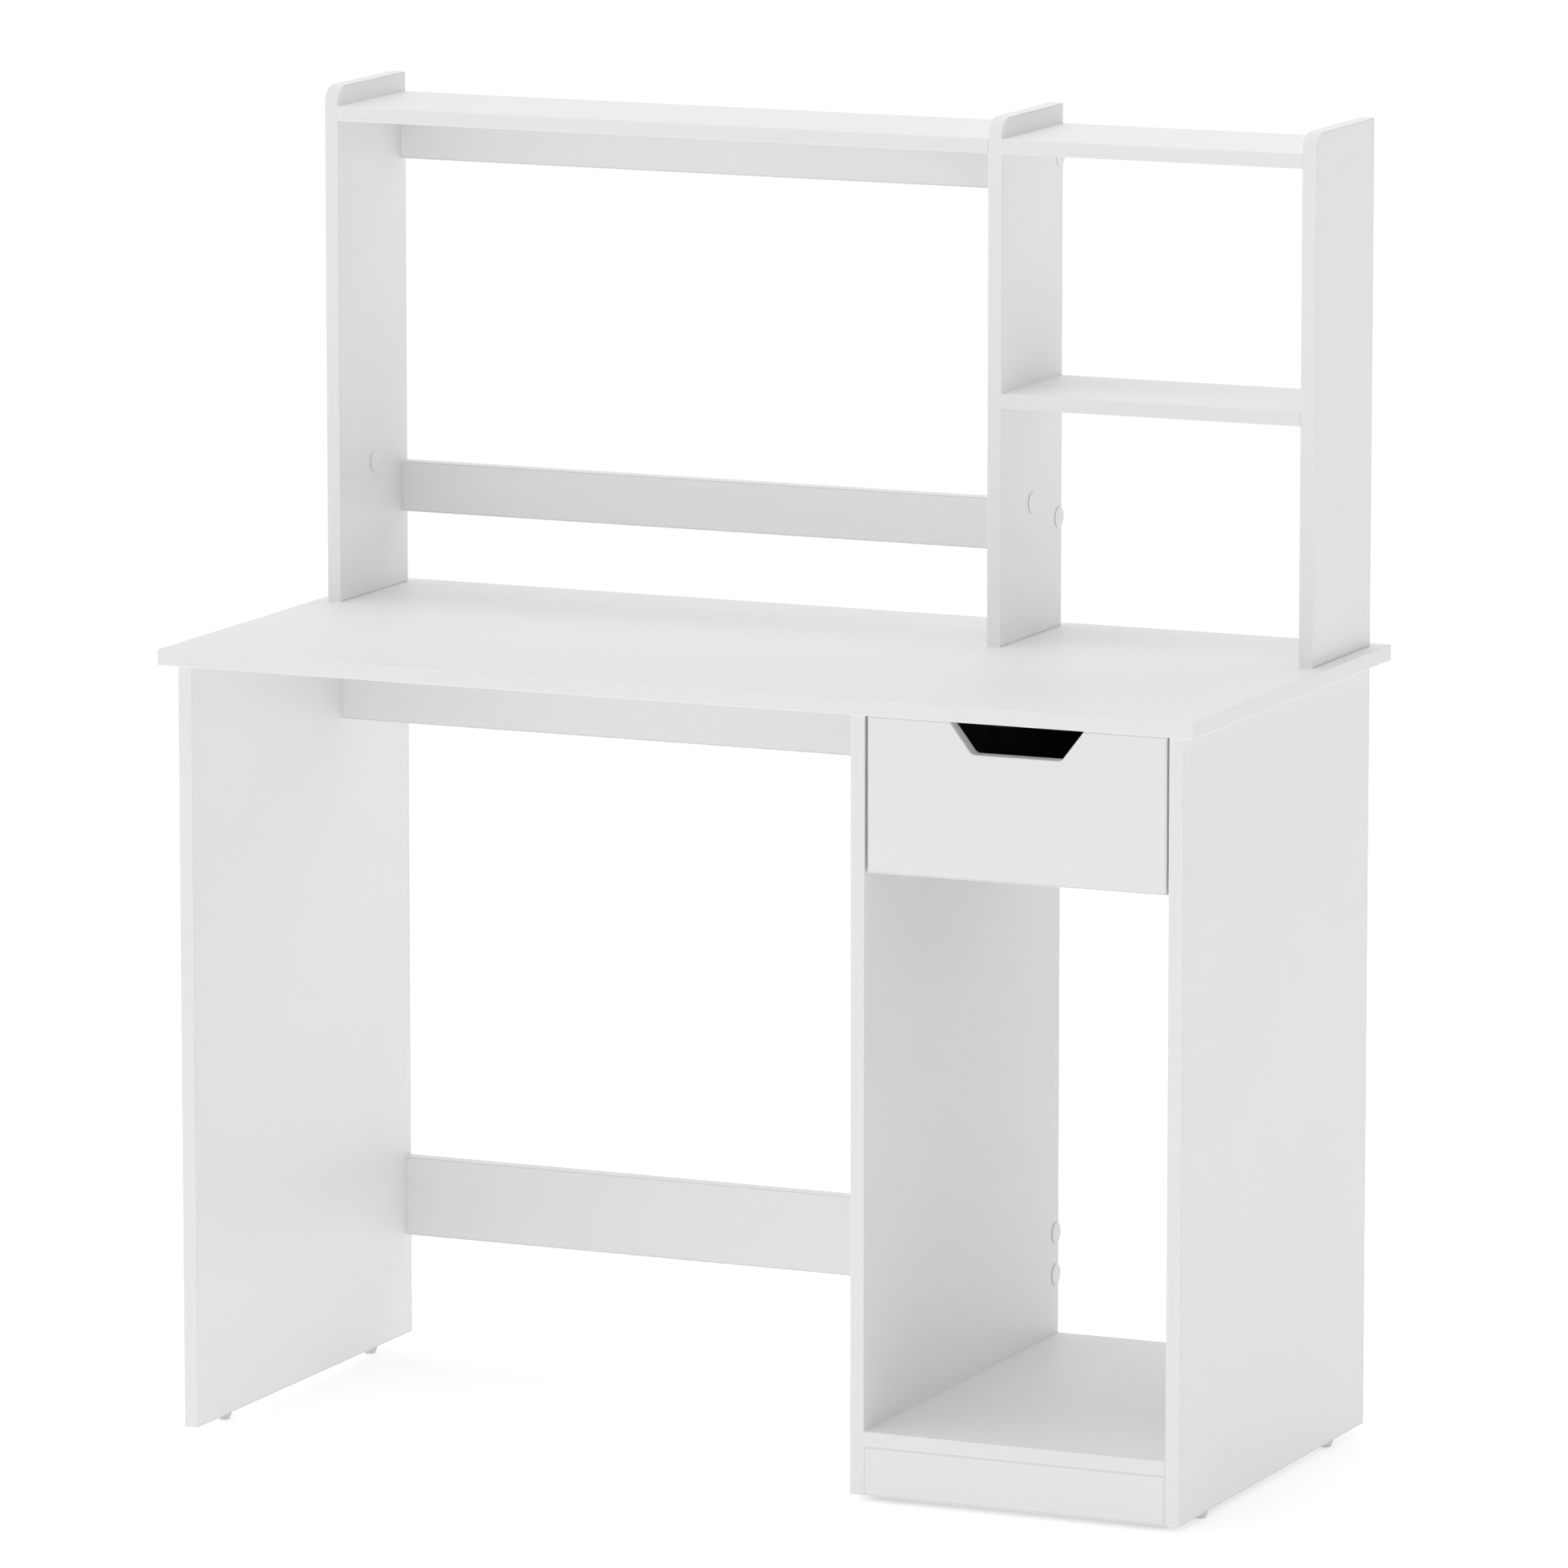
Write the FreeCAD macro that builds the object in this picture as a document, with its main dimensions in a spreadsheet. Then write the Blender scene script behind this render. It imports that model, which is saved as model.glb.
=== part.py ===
import FreeCAD, Part
import os
import Sketcher

# Student desk with a hutch: a wide desk top on three side panels, a drawer over an open tower
# bay on the right, and an open hutch with rails and shelves standing along the back edge.
# Millimetres. The origin is on the floor below the middle of the desk top,
# +X runs to the right, +Y to the back and +Z up.
#
# Every piece is drawn in the desk's own frame: x from the left panel's outer face, y from the
# side panels' front faces and z from their undersides. CORNER then moves it to the origin.

SIZES = {
    # Boards
    "board": 15,
    "top_board": 16,
    "edge_radius": 1,
    # Carcass: whole width, the clear width of the drawer's bay, panels and the desk top's overhangs
    "desk_width": 1106,
    "tower_bay": 317,
    "panel_depth": 494,
    "panel_height": 774,
    "side_overhang": 15.5,
    "front_overhang": 14,
    "back_overhang": 19,
    # Stretchers of the knee bay, shelf and kick plate of the tower bay
    "upper_stretcher_setback": 336,
    "upper_stretcher_height": 104,
    "lower_stretcher_lift": 105.5,
    "lower_stretcher_height": 83,
    "kick_height": 49,
    # Hutch
    "hutch_depth": 157,
    "hutch_height": 527,
    "hutch_corner_radius": 20,
    "top_shelf_drop": 20.5,
    "middle_shelf_lift": 238.5,
    "upper_rail_height": 52.5,
    "lower_rail_lift": 75,
    "lower_rail_height": 52,
    # Foot glides
    "glide_height": 6.5,
    "glide_top_diameter": 15,
    "glide_foot_diameter": 11,
    "glide_front_setback": 74,
    "glide_rear_setback": 85,
    "glide_nail_diameter": 2.4,
    "glide_nail_length": 14,
    # Drawer front and its grip
    "drawer_gap": 2.5,
    "drawer_recess": 1,
    "drawer_front_height": 153.5,
    "grip_top_width": 140,
    "grip_bottom_width": 93,
    "grip_depth": 30.5,
    "grip_corner_radius": 7,
    # Drawer box
    "drawer_board": 12,
    "drawer_box_lift": 20,
    "drawer_box_height": 110,
    "drawer_box_length": 400,
    "drawer_bottom_board": 3,
    "drawer_bottom_lift": 10,
    "groove_depth": 5,
    # Roller runners
    "runner_gap": 12.5,
    "runner_steel": 1.2,
    "channel_reach": 10.2,
    "channel_drop": 3,
    "channel_front_gap": 2,
    "channel_mouth": 29,
    "drawer_flange_reach": 8.5,
    "drawer_travel": 290,
    "roller_diameter": 17,
    "roller_width": 8,
    "roller_side_gap": 0.8,
    "roller_inset": 14,
    "roller_rise": 2.1,
    "axle_diameter": 4,
    "axle_head_diameter": 7,
    "axle_head_height": 0.6,
    "running_clearance": 0.05,
    "rolling_clearance": 0.3,
    "runner_screw_front": 60,
    "runner_screw_rear": 340,
    "runner_screw_head_diameter": 7,
    "runner_screw_head_height": 1,
    "runner_screw_diameter": 3.5,
    "runner_screw_length": 11,
    # Confirmat screws, their caps and the spare hole plugs
    "screw_edge": 20,
    "rail_screw_drop": 16.5,
    "screw_head_diameter": 10,
    "screw_head_height": 4,
    "screw_shank_diameter": 7,
    "screw_thread_diameter": 5,
    "screw_length": 50,
    "cap_diameter": 22,
    "cap_height": 1.2,
    "cap_rim_height": 0.4,
    "cap_slope": 3,
    "plug_setback": 81,
    "plug_lift": 134.5,
    "plug_stem_diameter": 5,
    "plug_stem_length": 9,
    # Cam locks, their bolts and dowels
    "cam_diameter": 15,
    "cam_height": 12,
    "cam_setback": 24,
    "bolt_diameter": 6,
    "bolt_thread_diameter": 5,
    "bolt_thread_length": 10,
    "drawer_cam_diameter": 12,
    "drawer_cam_height": 9.5,
    "drawer_cam_lift": 34,
    "dowel_diameter": 8,
    "dowel_length": 30,
    "dowel_face_depth": 10,
    "drawer_dowel_lift": 84,
    "back_screw_edge": 20,
    "back_screw_head_diameter": 7,
    "back_screw_head_height": 2,
    "back_screw_diameter": 4,
    "back_screw_length": 35,
    "hole_clearance": 0.2,
    # Where the fasteners sit
    "top_cam_front": 229,
    "rear_cam_setback": 73,
    "top_dowel_front": 69,
    "rear_dowel_setback": 41,
    "hutch_foot_dowel": 30,
    "long_shelf_cam": 36,
    "long_shelf_dowel": 100,
    "short_shelf_cam": 68,
    "short_shelf_dowel": 126,
    "tower_cam_front": 60,
    "tower_cam_rear": 400,
    "tower_dowel": 230,
    "kick_cam_lift": 32,
    "kick_dowel_lift": 14,
}

doc = FreeCAD.newDocument("StudentDesk")
sheet = doc.addObject("Spreadsheet::Sheet", "Size")
for row, (alias, number) in enumerate(SIZES.items(), 1):
    sheet.set(f"A{row}", alias)
    sheet.set(f"B{row}", str(number))
    sheet.setAlias(f"B{row}", alias)
doc.recompute()

# Places across the desk
LEFT_INNER = "Size.board"
CENTRE_LEFT = "(Size.desk_width - 2 * Size.side_overhang - Size.tower_bay - 2 * Size.board)"
CENTRE_RIGHT = f"({CENTRE_LEFT} + Size.board)"
RIGHT_INNER = f"({CENTRE_RIGHT} + Size.tower_bay)"
RIGHT_OUTER = f"({RIGHT_INNER} + Size.board)"
BAY_MIDDLE = f"({CENTRE_RIGHT} + Size.tower_bay / 2)"

# Places from front to back
REAR_BOARD = "(Size.panel_depth - Size.board)"
REAR_BOARD_MIDDLE = "(Size.panel_depth - Size.board / 2)"
STRETCHER_MIDDLE = "(Size.upper_stretcher_setback + Size.board / 2)"
HUTCH_FRONT = "(Size.panel_depth - Size.hutch_depth)"
REAR_CAM = "(Size.panel_depth - Size.rear_cam_setback)"
REAR_DOWEL = "(Size.panel_depth - Size.rear_dowel_setback)"
DRAWER_BACK_OF_FRONT = "(Size.drawer_recess + Size.board)"
DRAWER_END = f"({DRAWER_BACK_OF_FRONT} + Size.drawer_box_length)"

# Heights
DESK_SURFACE = "(Size.panel_height + Size.top_board)"
UPPER_STRETCHER = "(Size.panel_height - Size.upper_stretcher_height)"
LOWER_STRETCHER_TOP = "(Size.lower_stretcher_lift + Size.lower_stretcher_height)"
HUTCH_TOP = f"({DESK_SURFACE} + Size.hutch_height)"
TOP_SHELF = f"({HUTCH_TOP} - Size.top_shelf_drop - Size.board)"
MIDDLE_SHELF = f"({DESK_SURFACE} + Size.middle_shelf_lift)"
UPPER_RAIL = f"({TOP_SHELF} - Size.upper_rail_height)"
LOWER_RAIL = f"({DESK_SURFACE} + Size.lower_rail_lift)"
LOWER_RAIL_TOP = f"({LOWER_RAIL} + Size.lower_rail_height)"
DRAWER_FRONT_TOP = "(Size.panel_height - Size.drawer_gap)"
DRAWER_FRONT_FOOT = f"({DRAWER_FRONT_TOP} - Size.drawer_front_height)"
BOX_FOOT = f"({DRAWER_FRONT_FOOT} + Size.drawer_box_lift)"
BOX_TOP = f"({BOX_FOOT} + Size.drawer_box_height)"
GROOVE_FOOT = f"({BOX_FOOT} + Size.drawer_bottom_lift)"
GROOVE_HEIGHT = "(Size.drawer_bottom_board + Size.hole_clearance)"
GROOVE_TOP = f"({GROOVE_FOOT} + {GROOVE_HEIGHT})"

# Places of the drawer box and of the left runner
BOX_LEFT = f"({CENTRE_RIGHT} + Size.runner_gap)"
BOX_INNER = f"({BOX_LEFT} + Size.drawer_board)"
BOX_WIDTH = "(Size.tower_bay - 2 * Size.runner_gap)"
BOX_INNER_WIDTH = f"({BOX_WIDTH} - 2 * Size.drawer_board)"
CHANNEL_FOOT = f"({BOX_FOOT} - Size.runner_steel - Size.channel_drop)"
TRACK_HEIGHT = "(Size.roller_diameter + 2 * Size.rolling_clearance)"
CHANNEL_TOP = f"({CHANNEL_FOOT} + 2 * Size.runner_steel + {TRACK_HEIGHT})"
CHANNEL_MIDDLE = f"({CHANNEL_FOOT} + Size.runner_steel + {TRACK_HEIGHT} / 2)"
CHANNEL_FRONT = f"({DRAWER_BACK_OF_FRONT} + Size.channel_front_gap)"
CABINET_ROLLER_Y = f"({CHANNEL_FRONT} + Size.roller_inset)"
CABINET_ROLLER_Z = f"({CHANNEL_MIDDLE} + Size.roller_rise)"
DRAWER_ROLLER_Y = f"({DRAWER_END} - Size.roller_inset)"
ROLLER_REACH = "(Size.roller_diameter / 2 + Size.rolling_clearance)"
CHANNEL_END = f"({DRAWER_ROLLER_Y} + {ROLLER_REACH} + Size.runner_steel)"
FLANGE_FOOT = f"({CABINET_ROLLER_Z} + {ROLLER_REACH})"
RUNNER_WEB = f"({BOX_LEFT} - Size.runner_steel)"

# The left panel's outer lower front corner, seen from the origin
CORNER = (
    f"-({RIGHT_OUTER}) / 2",
    "-(Size.panel_depth + Size.back_overhang - Size.front_overhang) / 2",
    "Size.glide_height",
)

DIRECTIONS = {
    "+X": (1, 0, 0),
    "-X": (-1, 0, 0),
    "+Y": (0, 1, 0),
    "-Y": (0, -1, 0),
    "+Z": (0, 0, 1),
    "-Z": (0, 0, -1),
}
OPPOSITE = {"+X": "-X", "-X": "+X", "+Y": "-Y", "-Y": "+Y", "+Z": "-Z", "-Z": "+Z"}
# A direction square to each direction, for turned pieces that look the same all round
SIDEWAYS = {"+X": "+Y", "-X": "+Y", "+Y": "+Z", "-Y": "+Z", "+Z": "+X", "-Z": "+X"}
# The origin plane square to each axis, and which way that plane faces along it
PLANES = {"X": ("YZ_Plane", 1), "Y": ("XZ_Plane", -1), "Z": ("XY_Plane", 1)}
HOLE = "Size.hole_clearance"
# How near two places in the model lie when they are one
TOUCHING = 0.01

pieces = []


def value(expression):
    """The number that an expression over the sheet gives."""
    return float(sheet.evalExpression(expression))


def move(place, towards, distance):
    """A place moved along a direction, as expressions."""
    steps = DIRECTIONS[towards]
    return tuple(f"({at} + {step} * {distance})" if step else at for at, step in zip(place, steps))


def settle(thing, place):
    """Places an object at a place of the desk's own frame."""
    for axis, corner, at in zip("xyz", CORNER, place):
        thing.setExpression(f"Placement.Base.{axis}", f"{corner} + {at}")


def new_body(label, in_place=True):
    """An empty body. One that stands in place is a sub-part, any other a pattern for copies."""
    body = doc.addObject("PartDesign::Body", label)
    body.Label = label
    if in_place:
        settle(body, ("0", "0", "0"))
        pieces.append(body)
    return body


def new_sketch(body, name, axis, station):
    """A sketch square to an axis, at a station along it."""
    role, facing = PLANES[axis]
    plane = next(item for item in body.Origin.OriginFeatures if item.Role == role)
    sketch = body.newObject("Sketcher::SketchObject", name)
    sketch.AttachmentSupport = [(plane, "")]
    sketch.MapMode = "FlatFace"
    sketch.setExpression("AttachmentOffset.Base.z", f"{facing} * ({station})")
    return sketch


def pin_point(sketch, item, point, place):
    """Ties one point of a sketch to two expressions."""
    for axis, line, expression in (("X", -2, place[0]), ("Y", -1, place[1])):
        if expression == "0":
            sketch.addConstraint(Sketcher.Constraint("PointOnObject", item, point, line))
            continue
        rule = Sketcher.Constraint(f"Distance{axis}", -1, 1, item, point, value(expression))
        number = sketch.addConstraint(rule)
        sketch.setExpression(f"Constraints[{number}]", expression)


def draw_outline(sketch, corners):
    """A closed outline of straight lines through corners given as pairs of expressions."""
    points = [FreeCAD.Vector(value(across), value(up), 0) for across, up in corners]
    count = len(points)
    for number in range(count):
        sketch.addGeometry(Part.LineSegment(points[number], points[(number + 1) % count]), False)
    for number in range(count):
        sketch.addConstraint(Sketcher.Constraint("Coincident", number, 2, (number + 1) % count, 1))
    for number, corner in enumerate(corners):
        pin_point(sketch, number, 1, corner)


def draw_box(sketch, low, high):
    """A rectangle between two opposite corners."""
    draw_outline(sketch, [low, (high[0], low[1]), high, (low[0], high[1])])


def draw_circles(sketch, centres, diameter):
    """Equal circles about centres given as pairs of expressions."""
    for centre in centres:
        middle = FreeCAD.Vector(value(centre[0]), value(centre[1]), 0)
        circle = Part.Circle(middle, FreeCAD.Vector(0, 0, 1), value(diameter) / 2)
        item = sketch.addGeometry(circle, False)
        pin_point(sketch, item, 3, centre)
        number = sketch.addConstraint(Sketcher.Constraint("Diameter", item, value(diameter)))
        sketch.setExpression(f"Constraints[{number}]", diameter)


def pad(body, sketch, towards, length):
    """Pads a sketch along a direction."""
    feature = body.newObject("PartDesign::Pad", f"{sketch.Name}_pad")
    feature.Profile = sketch
    feature.setExpression("Length", length)
    feature.Reversed = PLANES[towards[1]][1] * int(f"{towards[0]}1") < 0
    doc.recompute()
    return feature


def pocket(body, sketch, towards, depth):
    """Cuts a sketch into a body along a direction, and makes sure that it cuts."""
    before = body.Shape.Volume
    feature = body.newObject("PartDesign::Pocket", f"{sketch.Name}_cut")
    feature.Profile = sketch
    feature.setExpression("Length", depth)
    feature.Reversed = PLANES[towards[1]][1] * int(f"{towards[0]}1") > 0
    doc.recompute()
    if not body.Shape.Volume < before:
        raise RuntimeError(f"{feature.Name} cuts nothing")
    return feature


def revolve(body, sketch):
    """Turns a sketch about its upright axis."""
    feature = body.newObject("PartDesign::Revolution", f"{sketch.Name}_turn")
    feature.Profile = sketch
    feature.ReferenceAxis = (sketch, ["V_Axis"])
    feature.Angle = 360
    doc.recompute()
    return feature


def drill(body, name, into, places, diameter, depth):
    """Equal blind holes from places on one flat face, in one direction."""
    axis = "XYZ".index(into[1])
    sketch = new_sketch(body, name, into[1], places[0][axis])
    centres = [tuple(at for number, at in enumerate(place) if number != axis) for place in places]
    draw_circles(sketch, centres, diameter)
    pocket(body, sketch, into, depth)


def round_edges(body, name, radius, chosen):
    """Rounds the edges of a body that a test picks."""
    base = body.Tip
    edges = enumerate(base.Shape.Edges, 1)
    names = [f"Edge{number}" for number, edge in edges if chosen(edge)]
    feature = body.newObject("PartDesign::Fillet", name)
    feature.Base = (base, names)
    feature.setExpression("Radius", radius)
    doc.recompute()


def runs_along(edge, axes):
    """Whether an edge is straight and parallel to one of the axes."""
    if edge.Curve.TypeId != "Part::GeomLine":
        return False
    direction = edge.Curve.Direction
    return any(abs(getattr(direction, axis)) > 1 - TOUCHING for axis in axes)


def make_board(label, x_span, y_span, z_span, eased):
    """A flat board between two places on each axis, with the edges along some axes eased."""
    body = new_body(label)
    sketch = new_sketch(body, f"{label}_end", "X", x_span[0])
    draw_box(sketch, (y_span[0], z_span[0]), (y_span[1], z_span[1]))
    pad(body, sketch, "+X", f"{x_span[1]} - ({x_span[0]})")
    round_edges(body, f"{label}_easing", "Size.edge_radius", lambda edge: runs_along(edge, eased))
    return body


def bolt_axis_point(centre, into, towards, board="Size.board"):
    """Where the bolt of a cam, set in from a face, leaves the board's edge."""
    return move(move(centre, into, f"{board} / 2"), towards, "Size.cam_setback")


def drill_for_cams(body, name, into, towards, centres):
    """Seats for cams in a face, and the ways of their bolts in from the edge."""
    seat = f"Size.cam_diameter + {HOLE}"
    drill(body, f"{name}_seats", into, centres, seat, f"Size.cam_height + {HOLE}")
    mouths = [bolt_axis_point(centre, into, towards) for centre in centres]
    way = f"Size.bolt_diameter + {HOLE}"
    drill(body, f"{name}_ways", OPPOSITE[towards], mouths, way, "Size.cam_setback")


def drill_for_dowels(body, name, into, places, in_face):
    """Dowel holes, shallow in a face and deep in an edge."""
    depth = "Size.dowel_face_depth" if in_face else "(Size.dowel_length - Size.dowel_face_depth)"
    drill(body, name, into, places, f"Size.dowel_diameter + {HOLE}", f"{depth} + {HOLE}")


def drill_for_bolts(body, name, into, places):
    """Blind holes in a face for the threads of cam bolts."""
    depth = f"Size.bolt_thread_length + {HOLE}"
    drill(body, name, into, places, f"Size.bolt_thread_diameter + {HOLE}", depth)


def drill_for_screws(body, name, into, places):
    """Stepped holes through a panel for screws whose heads lie in its face."""
    shank = f"Size.screw_shank_diameter + {HOLE}"
    drill(body, f"{name}_shanks", into, places, shank, "Size.board")
    head = f"Size.screw_head_diameter + {HOLE}"
    drill(body, f"{name}_heads", into, places, head, "Size.screw_head_height")


def drill_for_threads(body, name, into, places):
    """Pilot holes in a rail's end for the screws' threads."""
    depth = f"Size.screw_length - Size.board + {HOLE}"
    drill(body, name, into, places, f"Size.screw_thread_diameter + {HOLE}", depth)


# Where the fasteners meet the boards

# The screws of the rails and stretchers between the left and the centre panels
DESK_SCREWS = [
    (REAR_BOARD_MIDDLE, "(Size.lower_stretcher_lift + Size.screw_edge)"),
    (REAR_BOARD_MIDDLE, f"({LOWER_STRETCHER_TOP} - Size.screw_edge)"),
    (STRETCHER_MIDDLE, f"({UPPER_STRETCHER} + Size.screw_edge)"),
    (STRETCHER_MIDDLE, "(Size.panel_height - Size.screw_edge)"),
]
HUTCH_SCREWS = [
    (REAR_BOARD_MIDDLE, f"({LOWER_RAIL_TOP} - Size.rail_screw_drop)"),
    (REAR_BOARD_MIDDLE, f"({TOP_SHELF} - Size.rail_screw_drop)"),
]
HUTCH_RAIL_DOWELS = [
    (REAR_BOARD_MIDDLE, f"({LOWER_RAIL} + Size.rail_screw_drop)"),
    (REAR_BOARD_MIDDLE, f"({UPPER_RAIL} + Size.rail_screw_drop)"),
]

# The plugs of the unused holes above the desk top
PLUG_PLACES = [
    (face, f"({HUTCH_FRONT} + Size.plug_setback)", f"({DESK_SURFACE} + Size.plug_lift)")
    for face in (LEFT_INNER, CENTRE_RIGHT)
]

# Each desk panel: its left face, and the face and direction that its cams are set in
PANELS = {
    "left_side_panel": ("0", LEFT_INNER, "-X"),
    "centre_side_panel": (CENTRE_LEFT, CENTRE_LEFT, "+X"),
    "right_side_panel": (RIGHT_INNER, RIGHT_INNER, "+X"),
}
# The hutch panels' left faces, in which their cams are set
HUTCH_PANELS = {
    "hutch_left_panel": "0",
    "hutch_divider": CENTRE_LEFT,
    "hutch_right_panel": RIGHT_INNER,
}
PANEL_LEFTS = list(HUTCH_PANELS.values())

# Each shelf: its ends, underside, depth, and the setbacks of its cams and dowels
SHELVES = {
    "tower_shelf": (
        (CENTRE_RIGHT, RIGHT_INNER), "Size.kick_height", ("0", "Size.panel_depth"),
        ("Size.tower_cam_front", "Size.tower_cam_rear"), ("Size.tower_dowel",),
    ),
    "hutch_middle_shelf": (
        (CENTRE_RIGHT, RIGHT_INNER), MIDDLE_SHELF, (HUTCH_FRONT, "Size.panel_depth"),
        (f"({HUTCH_FRONT} + Size.short_shelf_cam)",), (f"({HUTCH_FRONT} + Size.short_shelf_dowel)",),
    ),
    "hutch_short_top_shelf": (
        (CENTRE_RIGHT, RIGHT_INNER), TOP_SHELF, (HUTCH_FRONT, "Size.panel_depth"),
        (f"({HUTCH_FRONT} + Size.short_shelf_cam)",), (f"({HUTCH_FRONT} + Size.short_shelf_dowel)",),
    ),
    "hutch_long_top_shelf": (
        (LEFT_INNER, CENTRE_LEFT), TOP_SHELF, (HUTCH_FRONT, "Size.panel_depth"),
        (f"({HUTCH_FRONT} + Size.long_shelf_cam)",), (f"({HUTCH_FRONT} + Size.long_shelf_dowel)",),
    ),
}


def top_cam_centres(face):
    """Cam centres near a desk panel's top edge, the front one first."""
    height = "(Size.panel_height - Size.cam_setback)"
    return [(face, setback, height) for setback in ("Size.top_cam_front", REAR_CAM)]


def foot_cam_centre(face):
    """The cam centre near a hutch panel's foot."""
    return (face, REAR_CAM, f"({DESK_SURFACE} + Size.cam_setback)")


def panel_middle(left):
    """The middle of a panel's thickness."""
    return f"({left} + Size.board / 2)"


def top_dowels(left):
    """Dowels between a desk panel's top edge and the desk top."""
    setbacks = ("Size.top_dowel_front", REAR_DOWEL)
    return [(panel_middle(left), setback, "Size.panel_height") for setback in setbacks]


def foot_dowel(left):
    """The dowel between the desk top and a hutch panel's foot."""
    return (panel_middle(left), f"({HUTCH_FRONT} + Size.hutch_foot_dowel)", DESK_SURFACE)


def glide_places(left):
    """Nail places of the two glides under a desk panel."""
    rear = "(Size.panel_depth - Size.glide_rear_setback)"
    return [(panel_middle(left), setback, "0") for setback in ("Size.glide_front_setback", rear)]


def shelf_cams(label, end):
    """Cam centres in a shelf's underside at its left end, 0, or its right end, 1."""
    ends, foot, _, cams, _ = SHELVES[label]
    inwards = ("+X", "-X")[end]
    return [move((ends[end], setback, foot), inwards, "Size.cam_setback") for setback in cams]


def shelf_bolts(label, end):
    """Where a shelf's cam bolts enter the panel at one end."""
    outwards = ("-X", "+X")[end]
    return [bolt_axis_point(centre, "+Z", outwards) for centre in shelf_cams(label, end)]


def shelf_dowels(label, end):
    """Dowel places at one end of a shelf."""
    ends, foot, _, _, dowels = SHELVES[label]
    return [(ends[end], setback, f"({foot} + Size.board / 2)") for setback in dowels]


def kick_cam(end):
    """The cam centre in the kick plate's back face at one end."""
    corner = ((CENTRE_RIGHT, RIGHT_INNER)[end], "Size.board", "Size.kick_cam_lift")
    return move(corner, ("+X", "-X")[end], "Size.cam_setback")


def kick_bolt(end):
    """Where the kick plate's cam bolt enters the panel at one end."""
    return bolt_axis_point(kick_cam(end), "-Y", ("-X", "+X")[end])


def kick_dowel(end):
    """The dowel place at one end of the kick plate."""
    return ((CENTRE_RIGHT, RIGHT_INNER)[end], "Size.board / 2", "Size.kick_dowel_lift")


def drawer_cam():
    """The cam centre in the left drawer side's inner face."""
    lift = f"({BOX_FOOT} + Size.drawer_cam_lift)"
    return (BOX_INNER, f"({DRAWER_BACK_OF_FRONT} + Size.cam_setback)", lift)


def drawer_bolt():
    """Where the left cam bolt enters the drawer front."""
    return bolt_axis_point(drawer_cam(), "-X", "-Y", "Size.drawer_board")


def drawer_dowel():
    """The dowel place between the left drawer side and the drawer front."""
    middle = f"({BOX_LEFT} + Size.drawer_board / 2)"
    return (middle, DRAWER_BACK_OF_FRONT, f"({BOX_FOOT} + Size.drawer_dowel_lift)")


def back_screws():
    """Where the left side's screws pass into the drawer back."""
    middle = f"({DRAWER_END} - Size.drawer_board / 2)"
    low = f"({GROOVE_TOP} + Size.back_screw_edge)"
    high = f"({BOX_TOP} - Size.back_screw_edge)"
    return [(BOX_LEFT, middle, low), (BOX_LEFT, middle, high)]


def cabinet_runner_screws():
    """Screw places in the left cabinet runner's web."""
    setbacks = ("Size.runner_screw_front", "Size.runner_screw_rear")
    return [(f"({CENTRE_RIGHT} + Size.runner_steel)", at, CHANNEL_MIDDLE) for at in setbacks]


def drawer_runner_screws():
    """Screw places in the left drawer runner's web."""
    setbacks = ("Size.runner_screw_front", "Size.runner_screw_rear")
    return [(RUNNER_WEB, at, CHANNEL_MIDDLE) for at in setbacks]


def mirrored(place):
    """A place of the tower bay's left half, mirrored to its right half."""
    return (f"(2 * {BAY_MIDDLE} - {place[0]})", place[1], place[2])


def make_desk_top():
    """The desk top, drilled for the panels' bolts and dowels and the hutch's."""
    body = make_board(
        "desk_top",
        ("-Size.side_overhang", f"({RIGHT_OUTER} + Size.side_overhang)"),
        ("-Size.front_overhang", "(Size.panel_depth + Size.back_overhang)"),
        ("Size.panel_height", DESK_SURFACE),
        "xyz",
    )
    middles = [panel_middle(left) for left in PANEL_LEFTS]
    bolts = [(middle, "Size.top_cam_front", "Size.panel_height") for middle in middles]
    drill_for_bolts(body, "desk_top_bolts", "+Z", bolts)
    through = [(middle, REAR_CAM, "Size.panel_height") for middle in middles]
    drill(body, "desk_top_through", "+Z", through, f"Size.bolt_diameter + {HOLE}", "Size.top_board")
    below = [place for left in PANEL_LEFTS for place in top_dowels(left)]
    drill_for_dowels(body, "desk_top_dowels", "+Z", below, True)
    above = [foot_dowel(left) for left in PANEL_LEFTS]
    drill_for_dowels(body, "desk_top_hutch_dowels", "-Z", above, True)


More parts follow.
